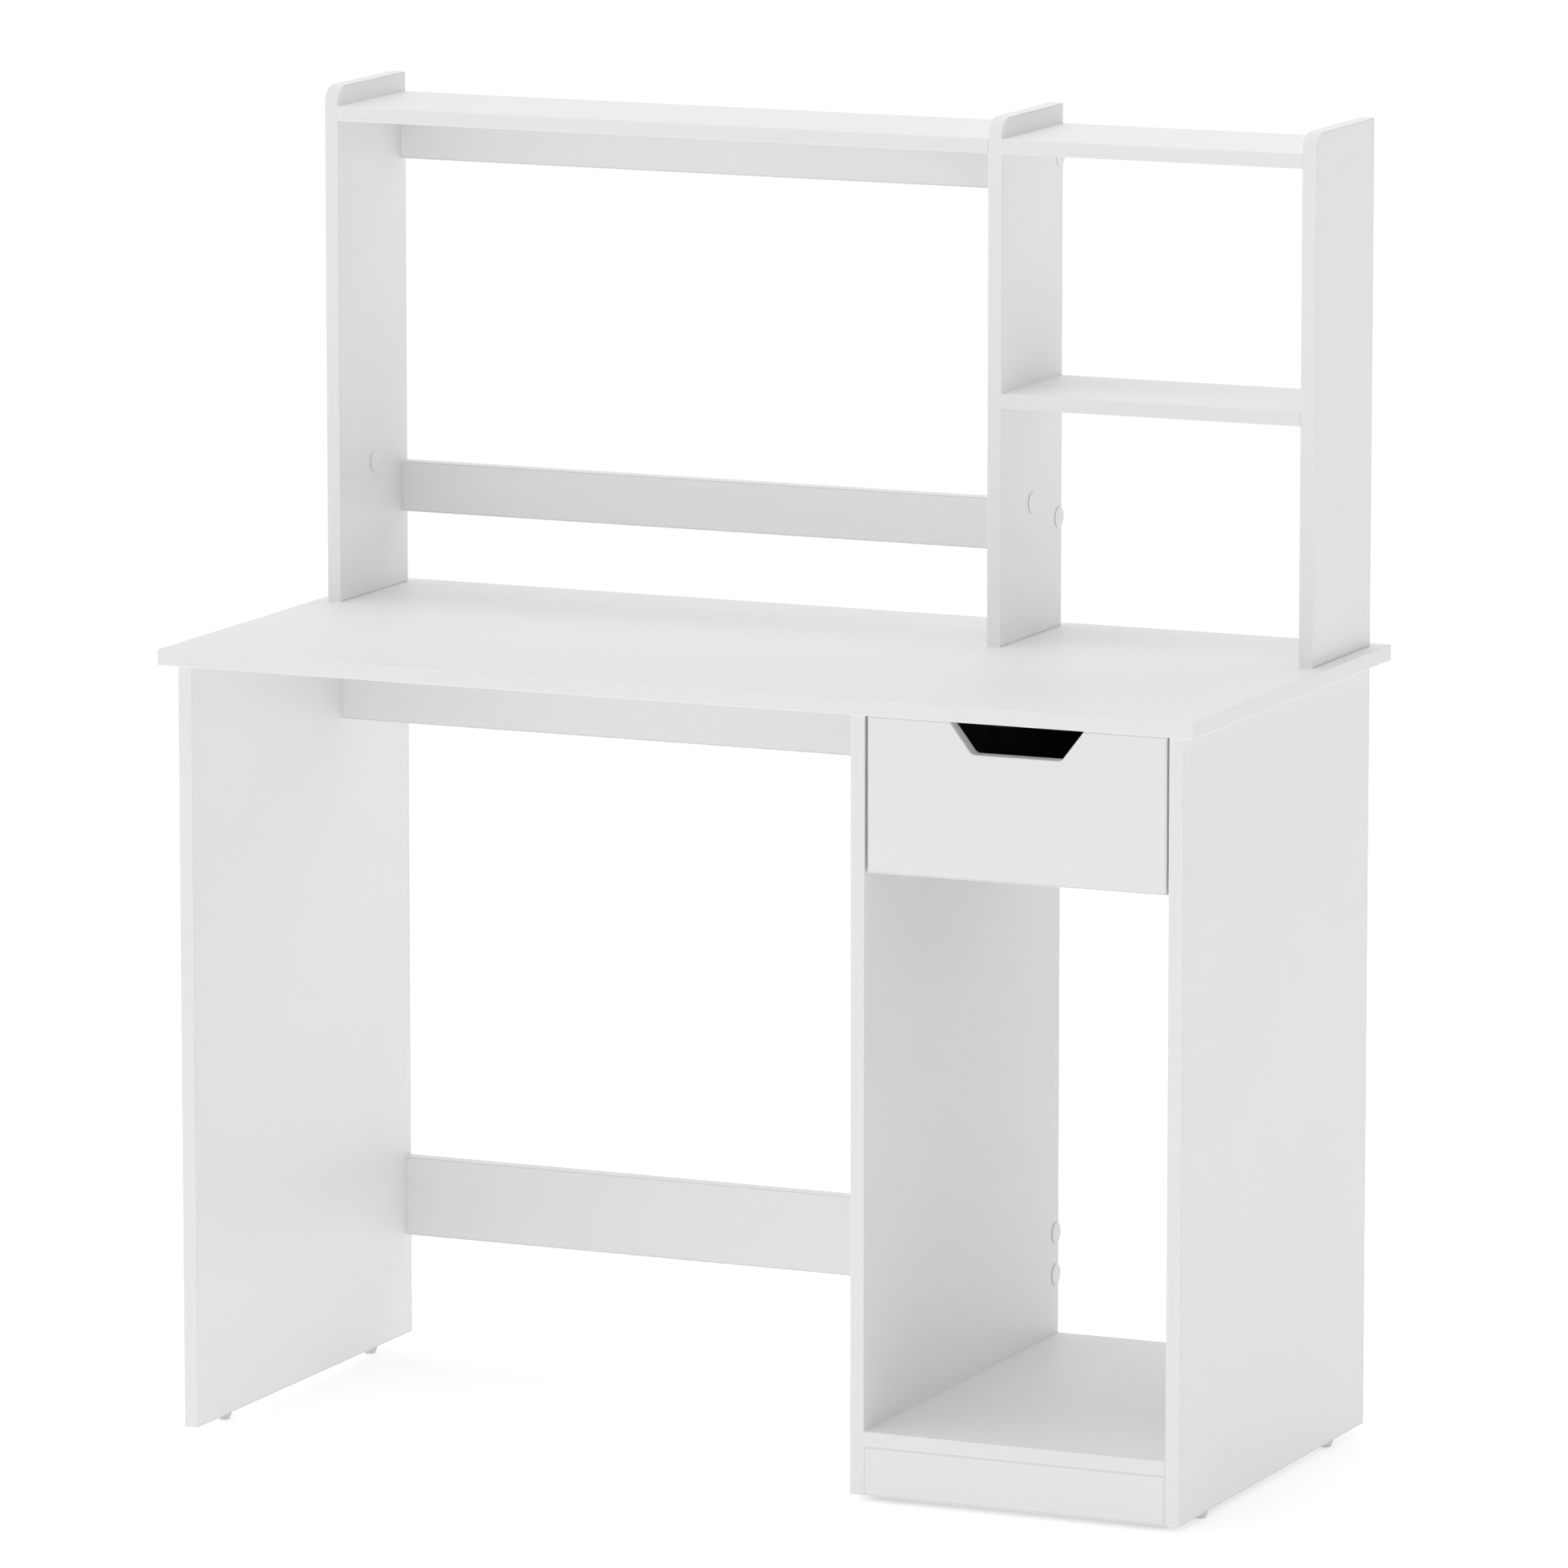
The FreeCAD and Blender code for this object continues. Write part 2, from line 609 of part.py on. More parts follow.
def make_side_panels():
    """The three desk panels, each with what its neighbours need drilled in it."""
    bodies = {}
    for label, (left, cam_face, cam_into) in PANELS.items():
        spans = ((left, f"({left} + Size.board)"), ("0", "Size.panel_depth"), ("0", "Size.panel_height"))
        body = make_board(label, *spans, "yz")
        drill_for_cams(body, f"{label}_cams", cam_into, "+Z", top_cam_centres(cam_face))
        drill_for_dowels(body, f"{label}_dowels", "-Z", top_dowels(left), False)
        nails = f"Size.glide_nail_diameter + {HOLE}"
        depth = f"Size.glide_nail_length + {HOLE}"
        drill(body, f"{label}_nails", "+Z", glide_places(left), nails, depth)
        bodies[label] = body
    left_body = bodies["left_side_panel"]
    centre = bodies["centre_side_panel"]
    right = bodies["right_side_panel"]
    drill_for_screws(left_body, "left_screws", "+X", [("0", *at) for at in DESK_SCREWS])
    drill_for_screws(centre, "centre_screws", "-X", [(CENTRE_RIGHT, *at) for at in DESK_SCREWS])
    for body, end, into in ((centre, 0, "-X"), (right, 1, "+X")):
        bolts = shelf_bolts("tower_shelf", end) + [kick_bolt(end)]
        drill_for_bolts(body, f"{body.Name}_bolts", into, bolts)
        dowels = shelf_dowels("tower_shelf", end) + [kick_dowel(end)]
        drill_for_dowels(body, f"{body.Name}_shelf_dowels", into, dowels, True)
        screws = [(CENTRE_RIGHT, at[1], at[2]) for at in cabinet_runner_screws()]
        if end:
            screws = [mirrored(place) for place in screws]
        thread = f"Size.runner_screw_diameter + {HOLE}"
        drill(body, f"{body.Name}_runner_screws", into, screws, thread, "Size.runner_screw_length")


def make_hutch_panels():
    """The three hutch panels, with their rounded top front corners."""
    bodies = {}
    for label, left in HUTCH_PANELS.items():
        body = new_body(label)
        sketch = new_sketch(body, f"{label}_end", "X", left)
        draw_box(sketch, (HUTCH_FRONT, DESK_SURFACE), ("Size.panel_depth", HUTCH_TOP))
        pad(body, sketch, "+X", "Size.board")
        front = value(HUTCH_FRONT)
        top = value(HUTCH_TOP)

        def front_corner(edge):
            middle = edge.CenterOfMass
            at_corner = abs(middle.y - front) < TOUCHING and abs(middle.z - top) < TOUCHING
            return at_corner and runs_along(edge, "x")

        round_edges(body, f"{label}_corner", "Size.hutch_corner_radius", front_corner)
        easing = "Size.edge_radius"
        round_edges(body, f"{label}_easing", easing, lambda edge: not runs_along(edge, "x"))
        drill_for_cams(body, f"{label}_cam", "+X", "-Z", [foot_cam_centre(left)])
        drill_for_dowels(body, f"{label}_dowel", "+Z", [foot_dowel(left)], False)
        bodies[label] = body
    left_body = bodies["hutch_left_panel"]
    divider = bodies["hutch_divider"]
    right = bodies["hutch_right_panel"]
    drill_for_screws(left_body, "hutch_left_screws", "+X", [("0", *at) for at in HUTCH_SCREWS])
    drill_for_screws(divider, "divider_screws", "-X", [(CENTRE_RIGHT, *at) for at in HUTCH_SCREWS])
    ends = (
        (left_body, "hutch_long_top_shelf", 0, "-X", LEFT_INNER),
        (divider, "hutch_long_top_shelf", 1, "+X", CENTRE_LEFT),
        (divider, "hutch_short_top_shelf", 0, "-X", None),
        (right, "hutch_short_top_shelf", 1, "+X", None),
        (divider, "hutch_middle_shelf", 0, "-X", None),
        (right, "hutch_middle_shelf", 1, "+X", None),
    )
    for body, shelf, end, into, rail_face in ends:
        drill_for_bolts(body, f"{body.Name}_{shelf}_bolt", into, shelf_bolts(shelf, end))
        dowels = shelf_dowels(shelf, end)
        if rail_face:
            dowels += [(rail_face, *at) for at in HUTCH_RAIL_DOWELS]
        drill_for_dowels(body, f"{body.Name}_{shelf}_dowel", into, dowels, True)
    stem = f"Size.plug_stem_diameter + {HOLE}"
    for body, place in zip((left_body, divider), PLUG_PLACES):
        drill(body, f"{body.Name}_spare", "-X", [place], stem, f"Size.plug_stem_length + {HOLE}")


def make_shelves():
    """The shelves, with cams in their undersides and dowels in their ends."""
    for label, (ends, foot, depth, _, _) in SHELVES.items():
        body = make_board(label, ends, depth, (foot, f"({foot} + Size.board)"), "x")
        for end, outwards in enumerate(("-X", "+X")):
            name = f"{label}_{('left', 'right')[end]}"
            drill_for_cams(body, f"{name}_cams", "+Z", outwards, shelf_cams(label, end))
            drill_for_dowels(body, f"{name}_dowels", OPPOSITE[outwards], shelf_dowels(label, end), False)


def make_kick_plate():
    """The kick plate under the front of the tower shelf."""
    spans = ((CENTRE_RIGHT, RIGHT_INNER), ("0", "Size.board"), ("0", "Size.kick_height"))
    body = make_board("kick_plate", *spans, "x")
    for end, outwards in enumerate(("-X", "+X")):
        name = f"kick_{('left', 'right')[end]}"
        drill_for_cams(body, f"{name}_cam", "-Y", outwards, [kick_cam(end)])
        drill_for_dowels(body, f"{name}_dowel", OPPOSITE[outwards], [kick_dowel(end)], False)


def make_rails():
    """The stretchers and rails between the left and the centre panels."""
    setback = "Size.upper_stretcher_setback"
    lift = "Size.lower_stretcher_lift"
    rails = {
        "upper_stretcher": (setback, UPPER_STRETCHER, "Size.panel_height", DESK_SCREWS[2:]),
        "lower_stretcher": (REAR_BOARD, lift, LOWER_STRETCHER_TOP, DESK_SCREWS[:2]),
        "hutch_upper_rail": (REAR_BOARD, UPPER_RAIL, TOP_SHELF, HUTCH_SCREWS[1:]),
        "hutch_lower_rail": (REAR_BOARD, LOWER_RAIL, LOWER_RAIL_TOP, HUTCH_SCREWS[:1]),
    }
    dowels = {"hutch_lower_rail": HUTCH_RAIL_DOWELS[:1], "hutch_upper_rail": HUTCH_RAIL_DOWELS[1:]}
    for label, (front, foot, top, screws) in rails.items():
        spans = ((LEFT_INNER, CENTRE_LEFT), (front, f"({front} + Size.board)"), (foot, top))
        body = make_board(label, *spans, "x")
        for face, into in ((LEFT_INNER, "+X"), (CENTRE_LEFT, "-X")):
            side = "left" if into == "+X" else "right"
            drill_for_threads(body, f"{label}_{side}", into, [(face, *at) for at in screws])
            if label in dowels:
                places = [(face, *at) for at in dowels[label]]
                drill_for_dowels(body, f"{label}_{side}_dowel", into, places, False)


def make_drawer_front():
    """The inset drawer front, with a trapezoid grip open at its top edge."""
    body = new_body("drawer_front")
    left = f"({CENTRE_RIGHT} + Size.drawer_gap)"
    right = f"({RIGHT_INNER} - Size.drawer_gap)"
    grip_foot = f"({DRAWER_FRONT_TOP} - Size.grip_depth)"
    sketch = new_sketch(body, "drawer_front_face", "Y", "Size.drawer_recess")
    draw_outline(sketch, [
        (left, DRAWER_FRONT_FOOT),
        (right, DRAWER_FRONT_FOOT),
        (right, DRAWER_FRONT_TOP),
        (f"({BAY_MIDDLE} + Size.grip_top_width / 2)", DRAWER_FRONT_TOP),
        (f"({BAY_MIDDLE} + Size.grip_bottom_width / 2)", grip_foot),
        (f"({BAY_MIDDLE} - Size.grip_bottom_width / 2)", grip_foot),
        (f"({BAY_MIDDLE} - Size.grip_top_width / 2)", DRAWER_FRONT_TOP),
        (left, DRAWER_FRONT_TOP),
    ])
    pad(body, sketch, "+Y", "Size.board")
    foot = value(grip_foot)
    round_edges(
        body, "grip_corners", "Size.grip_corner_radius",
        lambda edge: runs_along(edge, "y") and abs(edge.CenterOfMass.z - foot) < TOUCHING,
    )
    round_edges(
        body, "drawer_front_easing", "Size.edge_radius",
        lambda edge: not runs_along(edge, "y"),
    )
    groove = new_sketch(body, "drawer_front_groove", "Y", DRAWER_BACK_OF_FRONT)
    reach = f"(Size.groove_depth + {HOLE})"
    low = (f"({BOX_INNER} - {reach})", GROOVE_FOOT)
    high = (f"({BOX_INNER} + {BOX_INNER_WIDTH} + {reach})", GROOVE_TOP)
    draw_box(groove, low, high)
    pocket(body, groove, "-Y", reach)
    drill_for_bolts(body, "drawer_front_bolts", "-Y", [drawer_bolt(), mirrored(drawer_bolt())])
    dowels = [drawer_dowel(), mirrored(drawer_dowel())]
    drill_for_dowels(body, "drawer_front_dowels", "-Y", dowels, True)


def make_drawer_box():
    """The drawer's sides, back and bottom."""
    side = new_body("drawer_left_side")
    sketch = new_sketch(side, "drawer_side_end", "X", BOX_LEFT)
    draw_box(sketch, (DRAWER_BACK_OF_FRONT, BOX_FOOT), (DRAWER_END, BOX_TOP))
    pad(side, sketch, "+X", "Size.drawer_board")
    round_edges(side, "drawer_side_easing", "Size.edge_radius", lambda edge: runs_along(edge, "y"))
    groove = new_sketch(side, "drawer_side_groove", "X", BOX_INNER)
    draw_box(groove, (DRAWER_BACK_OF_FRONT, GROOVE_FOOT), (DRAWER_END, GROOVE_TOP))
    pocket(side, groove, "-X", f"Size.groove_depth + {HOLE}")
    cam = f"Size.drawer_cam_diameter + {HOLE}"
    drill(side, "drawer_side_cam", "-X", [drawer_cam()], cam, f"Size.drawer_cam_height + {HOLE}")
    way = f"Size.bolt_diameter + {HOLE}"
    drill(side, "drawer_side_bolt", "+Y", [drawer_bolt()], way, "Size.cam_setback")
    drill_for_dowels(side, "drawer_side_dowel", "+Y", [drawer_dowel()], False)
    shank = f"Size.back_screw_diameter + {HOLE}"
    head = f"Size.back_screw_head_diameter + {HOLE}"
    drill(side, "drawer_side_screws", "+X", back_screws(), shank, "Size.drawer_board")
    drill(side, "drawer_side_heads", "+X", back_screws(), head, "Size.back_screw_head_height")
    thread = f"Size.runner_screw_diameter + {HOLE}"
    runner = [move(place, "+X", "Size.runner_steel") for place in drawer_runner_screws()]
    reach = "Size.runner_screw_length - Size.runner_steel"
    drill(side, "drawer_side_runner_screws", "+X", runner, thread, reach)
    mirror_piece("drawer_right_side", side)

    spans = (
        (BOX_INNER, f"({BOX_INNER} + {BOX_INNER_WIDTH})"),
        (f"({DRAWER_END} - Size.drawer_board)", DRAWER_END),
        (GROOVE_TOP, BOX_TOP),
    )
    back = make_board("drawer_back", *spans, "x")
    inner = [move(place, "+X", "Size.drawer_board") for place in back_screws()]
    depth = f"Size.back_screw_length - Size.drawer_board + {HOLE}"
    drill(back, "drawer_back_left_screws", "+X", inner, shank, depth)
    drill(back, "drawer_back_right_screws", "-X", [mirrored(at) for at in inner], shank, depth)

    bottom = new_body("drawer_bottom")
    lift = f"({GROOVE_FOOT} + {HOLE} / 2)"
    plate = new_sketch(bottom, "drawer_bottom_face", "Z", lift)
    low = (f"({BOX_INNER} - Size.groove_depth)", f"({DRAWER_BACK_OF_FRONT} - Size.groove_depth)")
    high = (f"({BOX_INNER} + {BOX_INNER_WIDTH} + Size.groove_depth)", DRAWER_END)
    draw_box(plate, low, high)
    pad(bottom, plate, "+Z", "Size.drawer_bottom_board")


def mirror_piece(label, source):
    """A sub-part that mirrors another across the middle of the tower bay."""
    twin = doc.addObject("Part::Mirroring", label)
    twin.Label = label
    twin.Source = source
    twin.Normal = FreeCAD.Vector(1, 0, 0)
    twin.setExpression("Base.x", f"{CORNER[0]} + {BAY_MIDDLE}")
    doc.recompute()
    pieces.append(twin)


def make_cabinet_runner():
    """The channel on the centre panel, open to the drawer, with a stop at each end of the travel."""
    body = new_body("left_cabinet_runner")
    section = new_sketch(body, "channel_section", "Y", CHANNEL_FRONT)
    web = f"({CENTRE_RIGHT} + Size.runner_steel)"
    lip = f"({CENTRE_RIGHT} + Size.channel_reach)"
    draw_outline(section, [
        (CENTRE_RIGHT, CHANNEL_FOOT),
        (lip, CHANNEL_FOOT),
        (lip, f"({CHANNEL_FOOT} + Size.runner_steel)"),
        (web, f"({CHANNEL_FOOT} + Size.runner_steel)"),
        (web, f"({CHANNEL_TOP} - Size.runner_steel)"),
        (lip, f"({CHANNEL_TOP} - Size.runner_steel)"),
        (lip, CHANNEL_TOP),
        (CENTRE_RIGHT, CHANNEL_TOP),
    ])
    pad(body, section, "+Y", f"{CHANNEL_END} - {CHANNEL_FRONT}")
    mouth = new_sketch(body, "channel_mouth_side", "X", lip)
    low = (CHANNEL_FRONT, f"({CHANNEL_TOP} - Size.runner_steel)")
    draw_box(mouth, low, (f"({CHANNEL_FRONT} + Size.channel_mouth)", CHANNEL_TOP))
    pocket(body, mouth, "-X", "Size.channel_reach - Size.runner_steel")
    front_stop = f"({DRAWER_ROLLER_Y} - Size.drawer_travel - {ROLLER_REACH})"
    stops = (("front_stop", front_stop), ("rear_stop", CHANNEL_END))
    for name, rear in stops:
        stop = new_sketch(body, name, "X", CENTRE_RIGHT)
        low = (f"({rear} - Size.runner_steel)", CHANNEL_FOOT)
        draw_box(stop, low, (rear, CHANNEL_TOP))
        pad(body, stop, "+X", "Size.channel_reach")
    head = f"Size.runner_screw_head_diameter + {HOLE}"
    drill(body, "channel_screws", "-X", cabinet_runner_screws(), head, "Size.runner_steel")
    axle = [(web, CABINET_ROLLER_Y, CABINET_ROLLER_Z)]
    drill(body, "channel_axle", "-X", axle, f"Size.axle_diameter + {HOLE}", "Size.runner_steel")
    mirror_piece("right_cabinet_runner", body)


def make_drawer_runner():
    """The rail under the drawer side: a ledge inwards, a web, and a flange over the cabinet's roller."""
    body = new_body("left_drawer_runner")
    section = new_sketch(body, "rail_section", "Y", DRAWER_BACK_OF_FRONT)
    ledge_foot = f"({BOX_FOOT} - Size.runner_steel)"
    flange = f"({BOX_LEFT} - Size.runner_steel - Size.drawer_flange_reach)"
    flange_top = f"({FLANGE_FOOT} + Size.runner_steel)"
    draw_outline(section, [
        (RUNNER_WEB, ledge_foot),
        (BOX_INNER, ledge_foot),
        (BOX_INNER, BOX_FOOT),
        (BOX_LEFT, BOX_FOOT),
        (BOX_LEFT, flange_top),
        (flange, flange_top),
        (flange, FLANGE_FOOT),
        (RUNNER_WEB, FLANGE_FOOT),
    ])
    pad(body, section, "+Y", "Size.drawer_box_length")
    head = f"Size.runner_screw_head_diameter + {HOLE}"
    drill(body, "rail_screws", "+X", drawer_runner_screws(), head, "Size.runner_steel")
    axle = [(RUNNER_WEB, DRAWER_ROLLER_Y, CHANNEL_MIDDLE)]
    drill(body, "rail_axle", "+X", axle, f"Size.axle_diameter + {HOLE}", "Size.runner_steel")
    mirror_piece("right_drawer_runner", body)


def make_roller(label, start, y, z):
    """A nylon roller on an axle along X, with a running bore."""
    body = new_body(label)
    rim = new_sketch(body, f"{label}_rim", "X", start)
    draw_circles(rim, [(y, z)], "Size.roller_diameter")
    pad(body, rim, "+X", "Size.roller_width")
    places = [(start, y, z)]
    bore = "Size.axle_diameter + 2 * Size.running_clearance"
    drill(body, f"{label}_bore", "+X", places, bore, "Size.roller_width")
    mirror_piece(label.replace("left", "right"), body)


def make_rollers():
    """A roller at the front of each cabinet runner and one at the rear of each drawer runner."""
    start = f"({CENTRE_RIGHT} + Size.runner_steel + Size.roller_side_gap)"
    make_roller("left_cabinet_roller", start, CABINET_ROLLER_Y, CABINET_ROLLER_Z)
    start = f"({RUNNER_WEB} - Size.roller_side_gap - Size.roller_width)"
    make_roller("left_drawer_roller", start, DRAWER_ROLLER_Y, CHANNEL_MIDDLE)


def make_outline_pattern(name, corners):
    """A pattern turned from the outline of its half section, as radii and heights."""
    body = new_body(name, False)
    sketch = new_sketch(body, f"{name}_profile", "Y", "0")
    draw_outline(sketch, corners)
    revolve(body, sketch)
    return body


def make_turned_pattern(name, steps):
    """A pattern turned from a stack of steps, each a radius and the height where it ends."""
    start = steps[0][1]
    corners = [("0", start)]
    for radius, end in steps[1:]:
        corners.append((radius, start))
        corners.append((radius, end))
        start = end
    corners.append(("0", start))
    return make_outline_pattern(name, corners)


def make_group(label, pattern, places):
    """A sub-part of like solids: copies of a pattern at places, each turned to its directions."""
    links = []
    for number, (place, upright, sideways) in enumerate(places, 1):
        link = doc.addObject("App::Link", f"{label}_{number}")
        link.LinkedObject = pattern
        upward = FreeCAD.Vector(*DIRECTIONS[upright])
        across = FreeCAD.Vector(*DIRECTIONS[sideways])
        turn = FreeCAD.Rotation(across, upward.cross(across), upward, "ZXY")
        link.Placement = FreeCAD.Placement(FreeCAD.Vector(), turn)
        settle(link, place)
        links.append(link)
    group = doc.addObject("Part::Compound", label)
    group.Label = label
    group.Links = links
    doc.recompute()
    pieces.append(group)


def aimed(places, upright):
    """Places for turned pieces that all point one way."""
    return [(place, upright, SIDEWAYS[upright]) for place in places]


def both_halves(places, upright):
    """Places in the tower bay's left half and their mirror images, aimed along X."""
    twins = [mirrored(place) for place in places]
    return aimed(places, upright) + aimed(twins, OPPOSITE[upright])


def make_axles():
    """The rollers' rivets, two on the cabinet runners and two on the drawer runners."""
    shank_end = "(Size.runner_steel + Size.roller_side_gap + Size.roller_width + Size.rolling_clearance)"
    pattern = make_turned_pattern("axle_pattern", [
        ("0", "0"),
        ("Size.axle_diameter / 2", shank_end),
        ("Size.axle_head_diameter / 2", f"({shank_end} + Size.axle_head_height)"),
    ])
    cabinet = [(CENTRE_RIGHT, CABINET_ROLLER_Y, CABINET_ROLLER_Z)]
    make_group("cabinet_roller_axles", pattern, both_halves(cabinet, "+X"))
    drawer = [(BOX_LEFT, DRAWER_ROLLER_Y, CHANNEL_MIDDLE)]
    make_group("drawer_roller_axles", pattern, both_halves(drawer, "-X"))


def make_runner_screws():
    """Flush screws through the webs of both runners."""
    pattern = make_turned_pattern("runner_screw_pattern", [
        ("0", "0"),
        ("Size.runner_screw_head_diameter / 2", "Size.runner_screw_head_height"),
        ("Size.runner_screw_diameter / 2", "Size.runner_screw_length"),
    ])
    make_group("cabinet_runner_screws", pattern, both_halves(cabinet_runner_screws(), "-X"))
    make_group("drawer_runner_screws", pattern, both_halves(drawer_runner_screws(), "+X"))


def make_foot_glides():
    """Tapered nail-in glides under the desk panels."""
    glide = make_outline_pattern("glide_pattern", [
        ("0", "-Size.glide_height"),
        ("Size.glide_foot_diameter / 2", "-Size.glide_height"),
        ("Size.glide_top_diameter / 2", "0"),
        ("Size.glide_nail_diameter / 2", "0"),
        ("Size.glide_nail_diameter / 2", "Size.glide_nail_length"),
        ("0", "Size.glide_nail_length"),
    ])
    places = [place for left in PANEL_LEFTS for place in glide_places(left)]
    make_group("foot_glides", glide, aimed(places, "+Z"))


def make_screws_and_caps():
    """Confirmat screws through the left and centre panels, each under a low cap."""
    screw = make_turned_pattern("screw_pattern", [
        ("0", "0"),
        ("Size.screw_head_diameter / 2", "Size.screw_head_height"),
        ("Size.screw_shank_diameter / 2", "Size.board"),
        ("Size.screw_thread_diameter / 2", "Size.screw_length"),
    ])
    heads = DESK_SCREWS + HUTCH_SCREWS
    left = [("0", *at) for at in heads]
    right = [(CENTRE_RIGHT, *at) for at in heads]
    make_group("assembly_screws", screw, aimed(left, "+X") + aimed(right, "-X"))

    crown = [
        ("Size.cap_diameter / 2", "0"),
        ("Size.cap_diameter / 2", "Size.cap_rim_height"),
        ("(Size.cap_diameter / 2 - Size.cap_slope)", "Size.cap_height"),
        ("0", "Size.cap_height"),
    ]
    cap = make_outline_pattern("cap_pattern", [("0", "0"), *crown])
    make_group("screw_cover_caps", cap, aimed(left, "-X") + aimed(right, "+X"))
    stem = [
        ("0", "-Size.plug_stem_length"),
        ("Size.plug_stem_diameter / 2", "-Size.plug_stem_length"),
        ("Size.plug_stem_diameter / 2", "0"),
    ]
    plug = make_outline_pattern("plug_pattern", stem + crown)
    make_group("spare_hole_plugs", plug, aimed(PLUG_PLACES, "+X"))


def make_cam_pattern(name, diameter, height, board):
    """A cam drum, standing in its seat along +Z, with a jaw that takes a bolt from +X."""
    cam = new_body(f"{name}_pattern", False)
    rim = new_sketch(cam, f"{name}_rim", "Z", HOLE)
    draw_circles(rim, [("0", "0")], diameter)
    pad(cam, rim, "+Z", height)
    jaw = new_sketch(cam, f"{name}_jaw", "X", "-Size.bolt_diameter / 2")
    half = f"(Size.bolt_diameter + {HOLE}) / 2"
    draw_box(jaw, (f"-{half}", f"{board} / 2 - {half}"), (half, f"{board} / 2 + {half}"))
    pocket(cam, jaw, "+X", diameter)
    return cam


def make_cams_and_bolts():
    """Cam locks in the boards' faces and the bolts that they draw tight."""
    cam = make_cam_pattern("cam", "Size.cam_diameter", "Size.cam_height", "Size.board")
    bolt = make_turned_pattern("bolt_pattern", [
        ("0", "-Size.cam_setback"),
        ("Size.bolt_diameter / 2", "0"),
        ("Size.bolt_thread_diameter / 2", "Size.bolt_thread_length"),
    ])
    cams = []
    bolts = []
    for _, cam_face, cam_into in PANELS.values():
        cams += [(centre, cam_into, "+Z") for centre in top_cam_centres(cam_face)]
        front = bolt_axis_point(top_cam_centres(cam_face)[0], cam_into, "+Z")
        bolts += aimed([front], "+Z")
    cams += [(foot_cam_centre(left), "+X", "-Z") for left in PANEL_LEFTS]
    for end, outwards in enumerate(("-X", "+X")):
        for label in SHELVES:
            cams += [(centre, "+Z", outwards) for centre in shelf_cams(label, end)]
            bolts += aimed(shelf_bolts(label, end), outwards)
        cams.append((kick_cam(end), "-Y", outwards))
        bolts += aimed([kick_bolt(end)], outwards)
    make_group("cam_locks", cam, cams)
    make_group("cam_bolts", bolt, bolts)

    rod = doc.addObject("Part::Cylinder", "rod_pattern")
    rod.setExpression("Radius", "Size.bolt_diameter / 2")
    rod.setExpression("Height", "2 * Size.cam_setback + Size.top_board")
    foot = "(Size.panel_height - Size.cam_setback)"
    feet = [(panel_middle(left), REAR_CAM, foot) for left in PANEL_LEFTS]
    make_group("double_ended_bolts", rod, aimed(feet, "+Z"))

    small = make_cam_pattern(
        "drawer_cam", "Size.drawer_cam_diameter", "Size.drawer_cam_height", "Size.drawer_board",
    )
    places = [(drawer_cam(), "-X", "-Y"), (mirrored(drawer_cam()), "+X", "-Y")]
    make_group("drawer_cam_locks", small, places)
    make_group("drawer_cam_bolts", bolt, aimed([drawer_bolt(), mirrored(drawer_bolt())], "-Y"))


def make_dowels():
    """Dowels, each with a short end in a face and a long end in an edge."""
    dowel = doc.addObject("Part::Cylinder", "dowel_pattern")
    dowel.setExpression("Radius", "Size.dowel_diameter / 2")
    dowel.setExpression("Height", "Size.dowel_length")

    def dowels_at(places, into_edge):
        starts = [move(place, OPPOSITE[into_edge], "Size.dowel_face_depth") for place in places]
        return aimed(starts, into_edge)

    places = []
    for left in PANEL_LEFTS:
        places += dowels_at(top_dowels(left), "-Z")
        places += dowels_at([foot_dowel(left)], "+Z")
    for end, inwards in enumerate(("+X", "-X")):
        for label in SHELVES:
            places += dowels_at(shelf_dowels(label, end), inwards)
        places += dowels_at([kick_dowel(end)], inwards)
        face = (LEFT_INNER, CENTRE_LEFT)[end]
        places += dowels_at([(face, *at) for at in HUTCH_RAIL_DOWELS], inwards)
    make_group("dowels", dowel, places)
    make_group("drawer_dowels", dowel, dowels_at([drawer_dowel(), mirrored(drawer_dowel())], "+Y"))


def make_drawer_back_screws():
    """Screws through the drawer's sides into its back."""
    pattern = make_turned_pattern("back_screw_pattern", [
        ("0", "0"),
        ("Size.back_screw_head_diameter / 2", "Size.back_screw_head_height"),
        ("Size.back_screw_diameter / 2", "Size.back_screw_length"),
    ])
    make_group("drawer_back_screws", pattern, both_halves(back_screws(), "+X"))


def check_document():
    """Stops on any failed object and any sub-part without a sound shape."""
    doc.recompute()
    for thing in doc.Objects:
        if "Invalid" in thing.State or "Error" in thing.State:
            raise RuntimeError(f"{thing.Name} failed: {thing.State}")
    for piece in pieces:
        if piece.Shape.isNull() or not piece.Shape.isValid() or not piece.Shape.Solids:
            raise RuntimeError(f"{piece.Label} has no sound shape")


def write_parts():
    """Writes each sub-part to a file that has its name."""
    os.makedirs("parts", exist_ok=True)
    for piece in pieces:
        piece.Shape.exportStep(f"parts/{piece.Label}.step")


make_desk_top()
make_side_panels()
make_rails()
make_shelves()
make_kick_plate()
make_hutch_panels()
make_drawer_front()
make_drawer_box()
make_cabinet_runner()
make_drawer_runner()
make_rollers()
make_axles()
make_runner_screws()
make_foot_glides()
make_screws_and_caps()
make_cams_and_bolts()
make_dowels()
make_drawer_back_screws()
check_document()
write_parts()
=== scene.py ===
import math

import bmesh
import bpy
from bpy.props import FloatProperty, FloatVectorProperty, PointerProperty
from mathutils import Matrix, Vector


